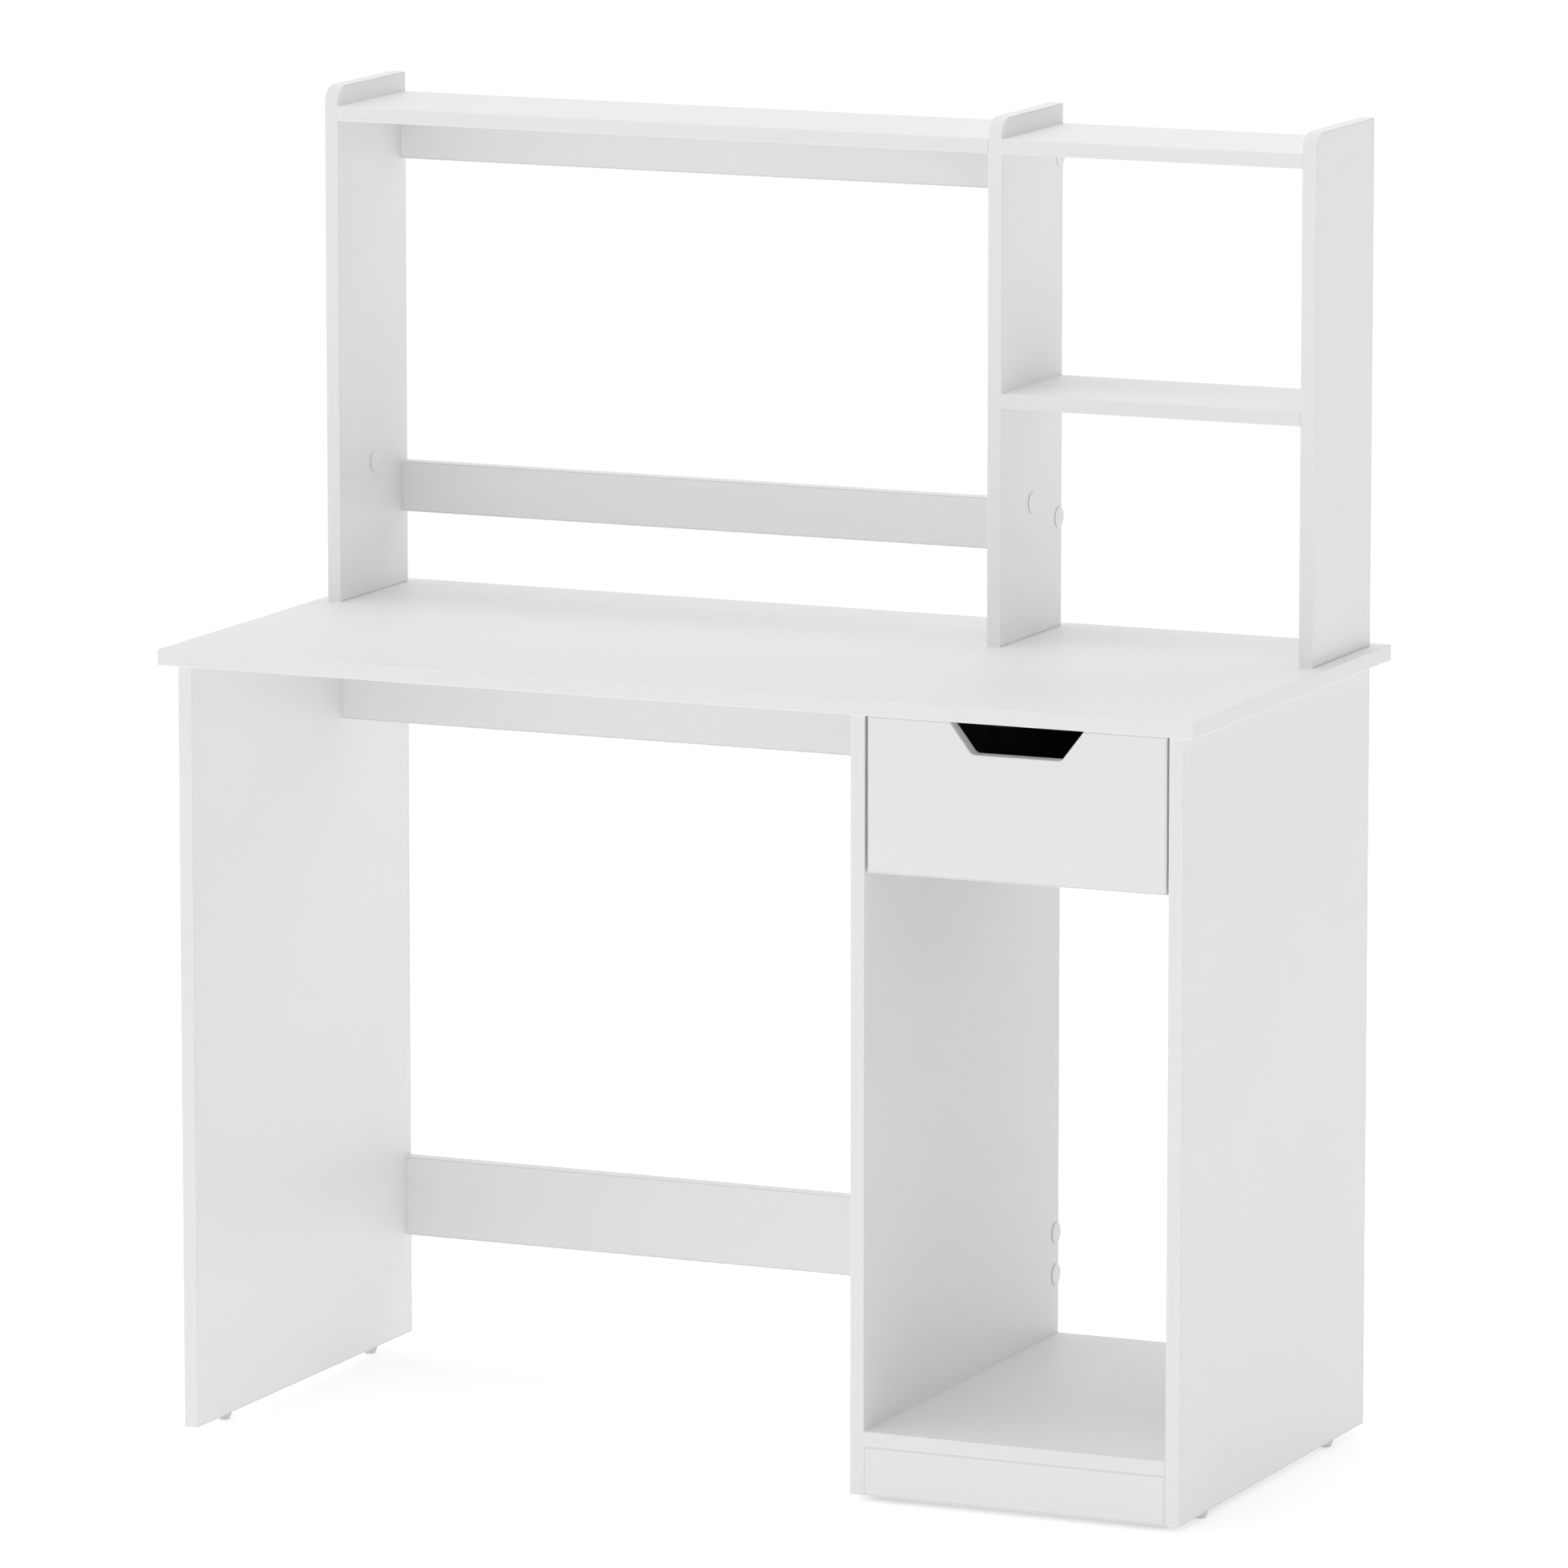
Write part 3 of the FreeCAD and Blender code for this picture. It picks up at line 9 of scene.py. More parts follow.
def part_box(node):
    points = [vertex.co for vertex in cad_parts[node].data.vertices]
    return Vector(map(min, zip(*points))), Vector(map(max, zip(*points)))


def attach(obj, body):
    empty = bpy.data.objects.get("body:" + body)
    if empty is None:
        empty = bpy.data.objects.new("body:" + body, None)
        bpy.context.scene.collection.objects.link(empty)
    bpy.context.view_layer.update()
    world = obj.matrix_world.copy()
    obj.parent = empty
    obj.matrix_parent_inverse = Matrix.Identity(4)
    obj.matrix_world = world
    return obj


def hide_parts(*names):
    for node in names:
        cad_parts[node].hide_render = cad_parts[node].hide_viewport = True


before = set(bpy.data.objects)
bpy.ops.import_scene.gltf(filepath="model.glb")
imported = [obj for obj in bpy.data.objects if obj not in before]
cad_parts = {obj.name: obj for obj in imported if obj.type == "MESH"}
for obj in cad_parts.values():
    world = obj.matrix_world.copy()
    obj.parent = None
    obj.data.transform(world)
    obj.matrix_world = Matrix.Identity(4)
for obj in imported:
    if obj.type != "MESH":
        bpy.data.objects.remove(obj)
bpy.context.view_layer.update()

bl_info = {
    "name": "Student Desk Finisher",
    "version": (1, 0, 0),
    "blender": (4, 5, 0),
    "location": "3D Viewport > Sidebar > Desk",
    "description": "Finishes a white flat-pack desk and its hutch around their fixed frame",
    "category": "Object",
}

MM = 0.001

# Steps round a turned piece and up a cap's dome, and the power that flattens the dome
ROUND_STEPS = 48
DOME_STEPS = 8
DOME_FLATNESS = 0.45

# The tops of a cap's foot and rim as shares of its height, how far up its foot the wall stays
# upright, and how far in from the edge the rim starts, as a share of its lip
CAP_FOOT = 0.38
CAP_EDGE = 0.66
FOOT_WALL = 0.9
RIM_INSET = 0.2

# A cam's driver slots: their length as a share of the drum's radius, and their depth
SLOT_REACH = 1.05
SLOT_DEPTH = 1.6 * MM
# The edges of the groove round a cam's face, from the outermost, as shares of the drum's radius
CAM_GROOVE = (0.84, 0.80, 0.62, 0.60)

# The rounding of a roller's rim: steps in from its radius and along from its side
RIM_ROUNDING = ((0.5 * MM, 0), (0.1 * MM, 0.35 * MM), (0, 0.8 * MM))

# The rounding of a runner's folds, and the angle from which an edge counts as one
BEND_ROUNDING = 0.35 * MM
BEND_STEPS = 2
BEND_ANGLE = math.radians(50)
# Faces that meet at less than the first angle are flat, and at more than the second one sharp
FLAT_ANGLE = math.radians(1)
SHARP_ANGLE = math.radians(35)

# Points of a CAD mesh that are nearer than this are one, and decimals that sort its solids
MERGE_DISTANCE = 0.002 * MM
SORT_DECIMALS = 5

# The boards' edge strips, the glue line beside them and the grain of the laminate
STRIP_THICKNESS = 1.2 * MM
LINE_WIDTH = 0.35 * MM
PEARL_SIZE = 0.9 * MM

# The range that most of a noise's values lie in
NOISE_RANGE = (0.3, 0.7)

# Hairline scratches across and along themselves, their turn, and the flecks of beech
HAIRLINES_PER_METRE = (900, 9, 9)
HAIRLINE_TURN = (0.35, 1.1, 0.65)
FLECKS_PER_METRE = (120, 900, 900)

# The darker and lighter shade that each finish varies between; the third pair is for the painted shade on
# the inner face of the drawer's bottom
LAMINATE_SHADES = (0.985, 1.012)
DARK_FACE_SHADES = (0.7, 1.4)
FIBRE_SHADES = (0.82, 1.12)
PLASTIC_SHADES = (0.97, 1.02)
METAL_SHADES = (0.88, 1.1)
COAT_SHADES = (0.97, 1.03)
BEECH_SHADES = (0.72, 1.2)

# The sockets of a Mix node's colours, which share their names with those of its other kinds
MIX_FIRST = 6
MIX_SECOND = 7
MIX_RESULT = 2

TURNED_COPIES = "turned_copies"

# The carcass boards and the axis of each one's thickness
CARCASS_BOARDS = {
    "desk_top": "z",
    "left_side_panel": "x",
    "centre_side_panel": "x",
    "right_side_panel": "x",
    "upper_stretcher": "y",
    "lower_stretcher": "y",
    "tower_shelf": "z",
    "kick_plate": "y",
    "hutch_left_panel": "x",
    "hutch_divider": "x",
    "hutch_right_panel": "x",
    "hutch_long_top_shelf": "z",
    "hutch_short_top_shelf": "z",
    "hutch_middle_shelf": "z",
    "hutch_upper_rail": "y",
    "hutch_lower_rail": "y",
    "drawer_front": "y",
}
DRAWER_BOARDS = {"drawer_left_side": "x", "drawer_right_side": "x", "drawer_back": "y"}
ROLLERS = ("left_cabinet_roller", "right_cabinet_roller", "left_drawer_roller", "right_drawer_roller")
RUNNERS = {
    "left_cabinet_runner": "desk",
    "right_cabinet_runner": "desk",
    "left_drawer_runner": "drawer",
    "right_drawer_runner": "drawer",
}
STEEL_FITTINGS = (
    "assembly_screws",
    "cam_bolts",
    "double_ended_bolts",
    "cabinet_runner_screws",
    "cabinet_roller_axles",
    "drawer_cam_bolts",
    "drawer_back_screws",
    "drawer_runner_screws",
    "drawer_roller_axles",
)
AXES = {"x": Vector((1, 0, 0)), "y": Vector((0, 1, 0)), "z": Vector((0, 0, 1))}

# The softboxes: each one's bearing from straight ahead towards the right, its height above the
# desk's middle, both in degrees, and its power in watts
SOFTBOXES = {
    "right_front_box": (30, 40, 5),
    "left_front_box": (-50, 40, 4),
    "top_box": (0, 85, 32),
    "back_box": (180, 50, 18),
    "right_back_box": (150, 30, 15),
}
SOFTBOX_TARGET = Vector((0, 0, 0.6))

# The share of the floor's glow that is left near the desk, and the distances in metres at which
# the glow starts to rise and is full
NEAR_GLOW = 0.8
GLOW_START = 3
GLOW_END = 10

# The camera's sensor in millimetres, and how far it sees in metres
SENSOR_WIDTH = 36
SIGHT = 200


class DeskBoardSettings(bpy.types.PropertyGroup):
    """Sizes and colours of the boards' finishes, and the painted shade of the drawer box and its bottom"""

    laminate: FloatVectorProperty(
        name="Laminate", description="Colour of the white laminate",
        subtype="COLOR", size=3, min=0, max=1, default=(0.885, 0.885, 0.883),
    )
    edging: FloatVectorProperty(
        name="Edging", description="Colour of the boards' edge strips",
        subtype="COLOR", size=3, min=0, max=1, default=(0.905, 0.905, 0.903),
    )
    glue_line: FloatVectorProperty(
        name="Glue Line", description="Colour of the fine joint between strip and laminate",
        subtype="COLOR", size=3, min=0, max=1, default=(0.40, 0.40, 0.39),
    )
    # Painted shade: the drawer box is near-black so that the inside of the closed drawer looks dark
    drawer_laminate: FloatVectorProperty(
        name="Drawer Laminate", description="Colour of the drawer box",
        subtype="COLOR", size=3, min=0, max=1, default=(0.050, 0.050, 0.052),
    )
    # Painted shade: the inner face of the drawer's bottom is near-black so that the inside of the closed
    # drawer looks dark
    hardboard: FloatVectorProperty(
        name="Hardboard", description="Colour of the drawer's bottom",
        subtype="COLOR", size=3, min=0, max=1, default=(0.080, 0.075, 0.070),
    )
    hardboard_back: FloatVectorProperty(
        name="Hardboard Back", description="Colour of the bare underside of the drawer's bottom",
        subtype="COLOR", size=3, min=0, max=1, default=(0.76, 0.75, 0.72),
    )
    strip: FloatProperty(
        name="Edge Strip", description="Thickness of the boards' edge strips",
        unit="LENGTH", default=STRIP_THICKNESS, min=0.2 * MM, max=3 * MM,
    )
    line: FloatProperty(
        name="Glue Line Width", description="Width of the joint between strip and laminate",
        unit="LENGTH", default=LINE_WIDTH, min=0.02 * MM, max=1 * MM,
    )
    pearl: FloatProperty(
        name="Pearl Size", description="Size of the laminate's fine pearl texture",
        unit="LENGTH", default=PEARL_SIZE, min=0.2 * MM, max=5 * MM,
    )


class DeskFittingSettings(bpy.types.PropertyGroup):
    """Sizes and colours of the caps, glides, cams, rollers and runners"""

    plastic: FloatVectorProperty(
        name="Cap Plastic", description="Colour of the cover caps and plugs",
        subtype="COLOR", size=3, min=0, max=1, default=(0.885, 0.885, 0.883),
    )
    glide_plastic: FloatVectorProperty(
        name="Glide Plastic", description="Colour of the foot glides",
        subtype="COLOR", size=3, min=0, max=1, default=(0.66, 0.66, 0.65),
    )
    nylon: FloatVectorProperty(
        name="Nylon", description="Colour of the rollers",
        subtype="COLOR", size=3, min=0, max=1, default=(0.74, 0.74, 0.71),
    )
    coat: FloatVectorProperty(
        name="Runner Coat", description="Colour of the runners' powder coat",
        subtype="COLOR", size=3, min=0, max=1, default=(0.70, 0.70, 0.68),
    )
    steel: FloatVectorProperty(
        name="Plated Steel", description="Colour of the bright screws, bolts and rivets",
        subtype="COLOR", size=3, min=0, max=1, default=(0.62, 0.62, 0.63),
    )
    zinc: FloatVectorProperty(
        name="Cast Zinc", description="Colour of the cam locks",
        subtype="COLOR", size=3, min=0, max=1, default=(0.56, 0.56, 0.57),
    )
    beech: FloatVectorProperty(
        name="Beech", description="Colour of the dowels",
        subtype="COLOR", size=3, min=0, max=1, default=(0.55, 0.36, 0.19),
    )
    cap_height: FloatProperty(
        name="Cap Height", description="How far a cap stands off its panel",
        unit="LENGTH", default=1.2 * MM, min=0.2 * MM, max=1.2 * MM,
    )
    cap_lip: FloatProperty(
        name="Cap Lip", description="How far a cap's rim reaches past its foot",
        unit="LENGTH", default=0.7 * MM, min=0, max=1 * MM,
    )
    glide_taper: FloatProperty(
        name="Glide Taper", description="A glide's foot as a share of its collar",
        default=0.7333, min=0.4, max=1,
    )
    cross_width: FloatProperty(
        name="Cam Cross Width", description="Width of a cam's driver slots",
        unit="LENGTH", default=1.4 * MM, min=0.4 * MM, max=4 * MM,
    )


class DeskStageSettings(bpy.types.PropertyGroup):
    """The floor, the lights and the camera"""

    floor: FloatVectorProperty(
        name="Floor", description="Colour of the floor",
        subtype="COLOR", size=3, min=0, max=1, default=(0.98, 0.98, 0.98),
    )
    floor_size: FloatProperty(
        name="Floor Size", description="Side of the square floor", unit="LENGTH", default=90, min=5,
    )
    floor_glow: FloatProperty(
        name="Floor Glow", description="Light that the far floor gives off, as a lit sweep does",
        default=0.3375, min=0,
    )
    sky: FloatProperty(
        name="Sky", description="Strength of the light from all round", default=0.705, min=0,
    )
    sky_lean: FloatVectorProperty(
        name="Sky Lean", description="Which way the light from all round is brighter, and by how much",
        subtype="XYZ", size=3, default=(-0.42, 0.08, 0.0),
    )
    softbox_distance: FloatProperty(
        name="Softbox Distance", description="How far the softboxes stand", unit="LENGTH", default=5, min=1,
    )
    softbox_side: FloatProperty(
        name="Softbox Side", description="Side of each square softbox", unit="LENGTH", default=2.6, min=0.1,
    )
    camera_place: FloatVectorProperty(
        name="Camera Place", description="Where the camera stands",
        subtype="TRANSLATION", size=3, default=(4.5396, -10.1974, 2.5580),
    )
    camera_yaw: FloatProperty(
        name="Camera Yaw", description="The camera's turn to the left of straight back",
        subtype="ANGLE", default=math.radians(23.9525),
    )
    camera_dip: FloatProperty(
        name="Camera Dip", description="How far the camera looks down",
        subtype="ANGLE", default=math.radians(9.6578),
    )
    camera_lens: FloatProperty(
        name="Camera Lens", description="Focal length for a 36 mm sensor, in millimetres",
        default=261.49, min=10,
    )


# Node helpers


def add_node(tree, kind, **settings):
    """A node with its settings."""
    node = tree.nodes.new(kind)
    for name, value in settings.items():
        setattr(node, name, value)
    return node


def feed(tree, socket, value):
    """Links a socket to another, or sets it to a plain value."""
    if isinstance(value, bpy.types.NodeSocket):
        tree.links.new(value, socket)
    else:
        socket.default_value = value


def compute(tree, operation, *values):
    """A maths node's result."""
    node = add_node(tree, "ShaderNodeMath", operation=operation)
    for socket, value in zip(node.inputs, values):
        feed(tree, socket, value)
    return node.outputs[0]


def compute_vector(tree, operation, *values):
    """A vector maths node's result."""
    node = add_node(tree, "ShaderNodeVectorMath", operation=operation)
    for socket, value in zip(node.inputs, values):
        feed(tree, socket, value)
    return node.outputs["Value"] if operation in ("DOT_PRODUCT", "LENGTH") else node.outputs[0]


def ramp(tree, value, low, high, start=0.0, end=1.0):
    """A value carried from one range to another, held at its ends."""
    node = add_node(tree, "ShaderNodeMapRange", clamp=True)
    for name, amount in (("Value", value), ("From Min", low), ("From Max", high),
                         ("To Min", start), ("To Max", end)):
        feed(tree, node.inputs[name], amount)
    return node.outputs["Result"]


def mix_colours(tree, factor, first, second):
    """A blend of two colours."""
    node = add_node(tree, "ShaderNodeMix", data_type="RGBA")
    feed(tree, node.inputs["Factor"], factor)
    feed(tree, node.inputs[MIX_FIRST], first)
    feed(tree, node.inputs[MIX_SECOND], second)
    return node.outputs[MIX_RESULT]


def noise(tree, place, size, detail=2.0, distortion=0.0):
    """Noise of a feature size in metres."""
    node = add_node(tree, "ShaderNodeTexNoise")
    feed(tree, node.inputs["Vector"], place)
    node.inputs["Scale"].default_value = 1 / size
    node.inputs["Detail"].default_value = detail
    node.inputs["Distortion"].default_value = distortion
    return node.outputs["Fac"]


def new_group(name, inputs, outputs):
    """A shader node group with named sockets, and its two end nodes."""
    tree = bpy.data.node_groups.new(name, "ShaderNodeTree")
    for label, kind, default in inputs:
        socket = tree.interface.new_socket(label, in_out="INPUT", socket_type=kind)
        socket.default_value = default
    for label, kind in outputs:
        tree.interface.new_socket(label, in_out="OUTPUT", socket_type=kind)
    return tree, add_node(tree, "NodeGroupInput"), add_node(tree, "NodeGroupOutput")


def place_group(tree, group, **values):
    """A group placed in a material, with values for its named inputs."""
    node = add_node(tree, "ShaderNodeGroup", node_tree=group)
    for name, value in values.items():
        feed(tree, node.inputs[name.replace("_", " ")], value)
    return node


def object_place(tree):
    """The surface point in the desk's own metres."""
    return add_node(tree, "ShaderNodeTexCoord").outputs["Object"]


# Shared effects


def build_board_edges_group():
    """Where a point lies on a board: its distance from the nearest edge, and the strip's glue line."""
    core_share = 0.3
    tree, entry, leave = new_group(
        "board_edges",
        (
            ("Low", "NodeSocketVector", (0, 0, 0)),
            ("High", "NodeSocketVector", (1, 1, 1)),
            ("Thickness Axis", "NodeSocketVector", (1, 0, 0)),
            ("Strip", "NodeSocketFloat", STRIP_THICKNESS),
            ("Line", "NodeSocketFloat", LINE_WIDTH),
        ),
        (("Glue Line", "NodeSocketFloat"), ("Strip Mask", "NodeSocketFloat"), ("Edge", "NodeSocketFloat")),
    )
    place = object_place(tree)
    from_low = compute_vector(tree, "SUBTRACT", place, entry.outputs["Low"])
    from_high = compute_vector(tree, "SUBTRACT", entry.outputs["High"], place)
    inset = compute_vector(tree, "MINIMUM", from_low, from_high)
    inset = compute_vector(tree, "MAXIMUM", inset, (0, 0, 0))
    parts = add_node(tree, "ShaderNodeSeparateXYZ")
    feed(tree, parts.inputs[0], inset)
    x, y, z = parts.outputs
    least = compute(tree, "MINIMUM", compute(tree, "MINIMUM", x, y), z)
    most = compute(tree, "MAXIMUM", compute(tree, "MAXIMUM", x, y), z)
    total = compute(tree, "ADD", compute(tree, "ADD", x, y), z)
    edge = compute(tree, "SUBTRACT", compute(tree, "SUBTRACT", total, least), most)
    depth = compute_vector(tree, "DOT_PRODUCT", inset, entry.outputs["Thickness Axis"])
    on_face = ramp(tree, depth, low=0.2 * MM, high=0.5 * MM, start=1.0, end=0.0)
    away = compute(tree, "ABSOLUTE", compute(tree, "SUBTRACT", edge, entry.outputs["Strip"]))
    core = compute(tree, "MULTIPLY", entry.outputs["Line"], core_share)
    line = ramp(tree, away, core, entry.outputs["Line"], start=1.0, end=0.0)
    feed(tree, leave.inputs["Glue Line"], compute(tree, "MULTIPLY", line, on_face))
    past_line = compute(tree, "ADD", entry.outputs["Strip"], entry.outputs["Line"])
    mask = ramp(tree, edge, entry.outputs["Strip"], past_line, start=1.0, end=0.0)
    feed(tree, leave.inputs["Strip Mask"], mask)
    feed(tree, leave.inputs["Edge"], edge)
    return tree


def build_pearl_group():
    """The fine pearl of pressed laminate, with slow waves of the board beneath it."""
    tree, entry, leave = new_group(
        "pressed_pearl",
        (("Size", "NodeSocketFloat", PEARL_SIZE), ("Depth", "NodeSocketFloat", 0.5)),
        (("Height", "NodeSocketFloat"), ("Cloud", "NodeSocketFloat")),
    )
    place = object_place(tree)
    pearl = add_node(tree, "ShaderNodeTexNoise")
    feed(tree, pearl.inputs["Vector"], place)
    feed(tree, pearl.inputs["Scale"], compute(tree, "DIVIDE", 1.0, entry.outputs["Size"]))
    pearl.inputs["Detail"].default_value = 1.0
    waves = noise(tree, place, size=45 * MM, detail=0.0)
    height = compute(tree, "MULTIPLY_ADD", pearl.outputs["Fac"], entry.outputs["Depth"], waves)
    feed(tree, leave.inputs["Height"], height)
    feed(tree, leave.inputs["Cloud"], noise(tree, place, size=250 * MM))
    return tree


def build_handling_group():
    """Faint smears and hairline scratches from handling."""
    tree, _, leave = new_group(
        "handling_marks", (), (("Smear", "NodeSocketFloat"), ("Scratch", "NodeSocketFloat")),
    )
    place = object_place(tree)
    smear = noise(tree, place, size=70 * MM, distortion=1.4)
    feed(tree, leave.inputs["Smear"], ramp(tree, smear, low=0.5, high=0.75))
    turned = add_node(tree, "ShaderNodeMapping")
    feed(tree, turned.inputs["Vector"], place)
    turned.inputs["Rotation"].default_value = HAIRLINE_TURN
    turned.inputs["Scale"].default_value = HAIRLINES_PER_METRE
    streak = noise(tree, turned.outputs[0], size=1.0, detail=0.0)
    hairs = ramp(tree, streak, low=0.72, high=0.76)
    patches = ramp(tree, smear, low=0.55, high=0.45)
    feed(tree, leave.inputs["Scratch"], compute(tree, "MULTIPLY", hairs, patches))
    return tree


def build_metal_group():
    """Plated or cast metal: crystal mottling and fine turning marks."""
    tree, entry, leave = new_group(
        "metal_grain",
        (("Size", "NodeSocketFloat", 1.0 * MM),),
        (("Mottle", "NodeSocketFloat"), ("Height", "NodeSocketFloat")),
    )
    place = object_place(tree)
    shrink = compute(tree, "DIVIDE", 1.0, entry.outputs["Size"])
    scaled = add_node(tree, "ShaderNodeVectorMath", operation="SCALE")
    feed(tree, scaled.inputs[0], place)
    feed(tree, scaled.inputs["Scale"], shrink)
    crystals = add_node(tree, "ShaderNodeTexVoronoi")
    feed(tree, crystals.inputs["Vector"], scaled.outputs[0])
    crystals.inputs["Scale"].default_value = 1.0
    grey = add_node(tree, "ShaderNodeSeparateColor")
    feed(tree, grey.inputs[0], crystals.outputs["Color"])
    feed(tree, leave.inputs["Mottle"], grey.outputs[0])
    feed(tree, leave.inputs["Height"], noise(tree, place, size=0.25 * MM, detail=3.0))
    return tree


GROUP_BUILDERS = {
    "board_edges": build_board_edges_group,
    "pressed_pearl": build_pearl_group,
    "handling_marks": build_handling_group,
    "metal_grain": build_metal_group,
}


def shared_group(name):
    """A shared node group, built the first time that it is asked for."""
    return bpy.data.node_groups.get(name) or GROUP_BUILDERS[name]()


# Materials


def new_material(name, roughness=0.5, metallic=0.0):
    """A material, its node tree and its Principled shader."""
    material = bpy.data.materials.new(name)
    material.use_nodes = True
    tree = material.node_tree
    tree.nodes.clear()
    shader = add_node(tree, "ShaderNodeBsdfPrincipled")
    output = add_node(tree, "ShaderNodeOutputMaterial")
    tree.links.new(shader.outputs[0], output.inputs["Surface"])
    shader.inputs["Roughness"].default_value = roughness
    shader.inputs["Metallic"].default_value = metallic
    return material, tree, shader


def raise_bump(tree, shader, height, depth, strength):
    """Bump from a height, with its depth in metres."""
    bump = add_node(tree, "ShaderNodeBump")
    bump.inputs["Strength"].default_value = strength
    bump.inputs["Distance"].default_value = depth
    feed(tree, bump.inputs["Height"], height)
    feed(tree, shader.inputs["Normal"], bump.outputs[0])


def solid(colour):
    """A colour with its alpha."""
    return (*colour, 1.0)


def shade(colour, factor):
    """A lighter or darker solid colour."""
    return solid([min(1.0, part * factor) for part in colour])


def mottle(tree, factor, colour, shades):
    """A colour that varies between a darker and a lighter shade of itself."""
    dark, light = shades
    return mix_colours(tree, factor, shade(colour, dark), shade(colour, light))


def board_material(node, axis, settings, face, strip, glue):
    """Laminate with edge strips and a painted highlight along the edges, set out from one board's own
    corners.
    """
    glue_share = 0.55
    # How much lighter than the strip the painted highlight along the edges is
    highlight_shade = 1.06
    smear_roughness = 0.05
    scratch_roughness = 0.12
    groove_height = -0.5
    low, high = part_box(node)
    material, tree, shader = new_material(f"{node}_laminate")
    edges = place_group(
        tree, shared_group("board_edges"), Low=low, High=high, Thickness_Axis=AXES[axis],
        Strip=settings.strip, Line=settings.line,
    )
    pearl = place_group(tree, shared_group("pressed_pearl"), Size=settings.pearl)
    marks = place_group(tree, shared_group("handling_marks"))
    colour = mottle(tree, pearl.outputs["Cloud"], face, LAMINATE_SHADES)
    colour = mix_colours(tree, edges.outputs["Strip Mask"], colour, solid(strip))
    glued = compute(tree, "MULTIPLY", edges.outputs["Glue Line"], glue_share)
    colour = mix_colours(tree, glued, colour, solid(glue))
    # Painted highlight: the strip grows lighter within 0.7 mm of each edge, as a rounded edge catches the
    # light
    edge_highlight = ramp(tree, edges.outputs["Edge"], low=0.0, high=0.7 * MM, start=0.35, end=0.0)
    colour = mix_colours(tree, edge_highlight, colour, shade(strip, highlight_shade))
    feed(tree, shader.inputs["Base Color"], colour)
    clean = ramp(tree, pearl.outputs["Cloud"], *NOISE_RANGE, start=0.36, end=0.46)
    smeared = compute(tree, "MULTIPLY_ADD", marks.outputs["Smear"], smear_roughness, clean)
    scratched = compute(tree, "MULTIPLY_ADD", marks.outputs["Scratch"], scratch_roughness, smeared)
    feed(tree, shader.inputs["Roughness"], scratched)
    relief = compute(
        tree, "MULTIPLY_ADD", edges.outputs["Glue Line"], groove_height, pearl.outputs["Height"])
    raise_bump(tree, shader, relief, depth=0.06 * MM, strength=0.35)
    shader.inputs["Specular IOR Level"].default_value = 0.38
    return material


def hardboard_material(settings):
    """Hardboard whose face inside the drawer is near-black as painted shade, with its bare fibres
    underneath.
    """
    material, tree, shader = new_material("drawer_hardboard")
    place = object_place(tree)
    fibres = noise(tree, place, size=1.6 * MM, detail=4.0, distortion=0.8)
    # Painted shade: the inner face is near-black, mottled with the fibres
    painted_shade_face = mottle(tree, fibres, settings.hardboard, DARK_FACE_SHADES)
    bare = mottle(tree, fibres, settings.hardboard_back, FIBRE_SHADES)
    upwards = compute_vector(
        tree, "DOT_PRODUCT", add_node(tree, "ShaderNodeNewGeometry").outputs["Normal"], AXES["z"])
    underside = ramp(tree, upwards, low=-0.6, high=-0.4, start=1.0, end=0.0)
    feed(tree, shader.inputs["Base Color"], mix_colours(tree, underside, painted_shade_face, bare))
    feed(tree, shader.inputs["Roughness"], ramp(tree, fibres, *NOISE_RANGE, start=0.45, end=0.65))
    raise_bump(tree, shader, fibres, depth=0.05 * MM, strength=0.4)
    return material


def plastic_material(name, colour, pit, roughness):
    """Moulded plastic with a spark-eroded skin of pits, whose roughness varies round a middle."""
    material, tree, shader = new_material(name)
    place = object_place(tree)
    skin = noise(tree, place, size=pit, detail=3.0)
    cloud = noise(tree, place, size=12 * MM, detail=1.0)
    feed(tree, shader.inputs["Base Color"], mottle(tree, cloud, colour, PLASTIC_SHADES))
    feed(tree, shader.inputs["Roughness"], ramp(
        tree, skin, *NOISE_RANGE, start=roughness - 0.05, end=roughness + 0.06))
    raise_bump(tree, shader, skin, depth=0.02 * MM, strength=0.3)
    return material


def metal_material(name, colour, grain, roughness):
    """Plated or cast metal with its size of grain, whose roughness varies round a middle."""
    material, tree, shader = new_material(name, metallic=1.0)
    metal = place_group(tree, shared_group("metal_grain"), Size=grain)
    feed(tree, shader.inputs["Base Color"], mottle(tree, metal.outputs["Mottle"], colour, METAL_SHADES))
    feed(tree, shader.inputs["Roughness"], ramp(
        tree, metal.outputs["Mottle"], low=0.0, high=1.0, start=roughness - 0.06, end=roughness + 0.08))
    raise_bump(tree, shader, metal.outputs["Height"], depth=0.02 * MM, strength=0.3)
    return material


def coat_material(colour):
    """Powder coat on folded steel, a little scratched."""
    scratch_share = 0.5
    scratch_shade = 0.62
    material, tree, shader = new_material("runner_coat")
    place = object_place(tree)
    peel = noise(tree, place, size=1.3 * MM)
    marks = place_group(tree, shared_group("handling_marks"))
    coat = mottle(tree, peel, colour, COAT_SHADES)
    scratched = compute(tree, "MULTIPLY", marks.outputs["Scratch"], scratch_share)
    colour = mix_colours(tree, scratched, coat, shade(colour, scratch_shade))
    feed(tree, shader.inputs["Base Color"], colour)
    feed(tree, shader.inputs["Roughness"], ramp(tree, peel, *NOISE_RANGE, start=0.32, end=0.44))
    raise_bump(tree, shader, peel, depth=0.03 * MM, strength=0.5)
    return material


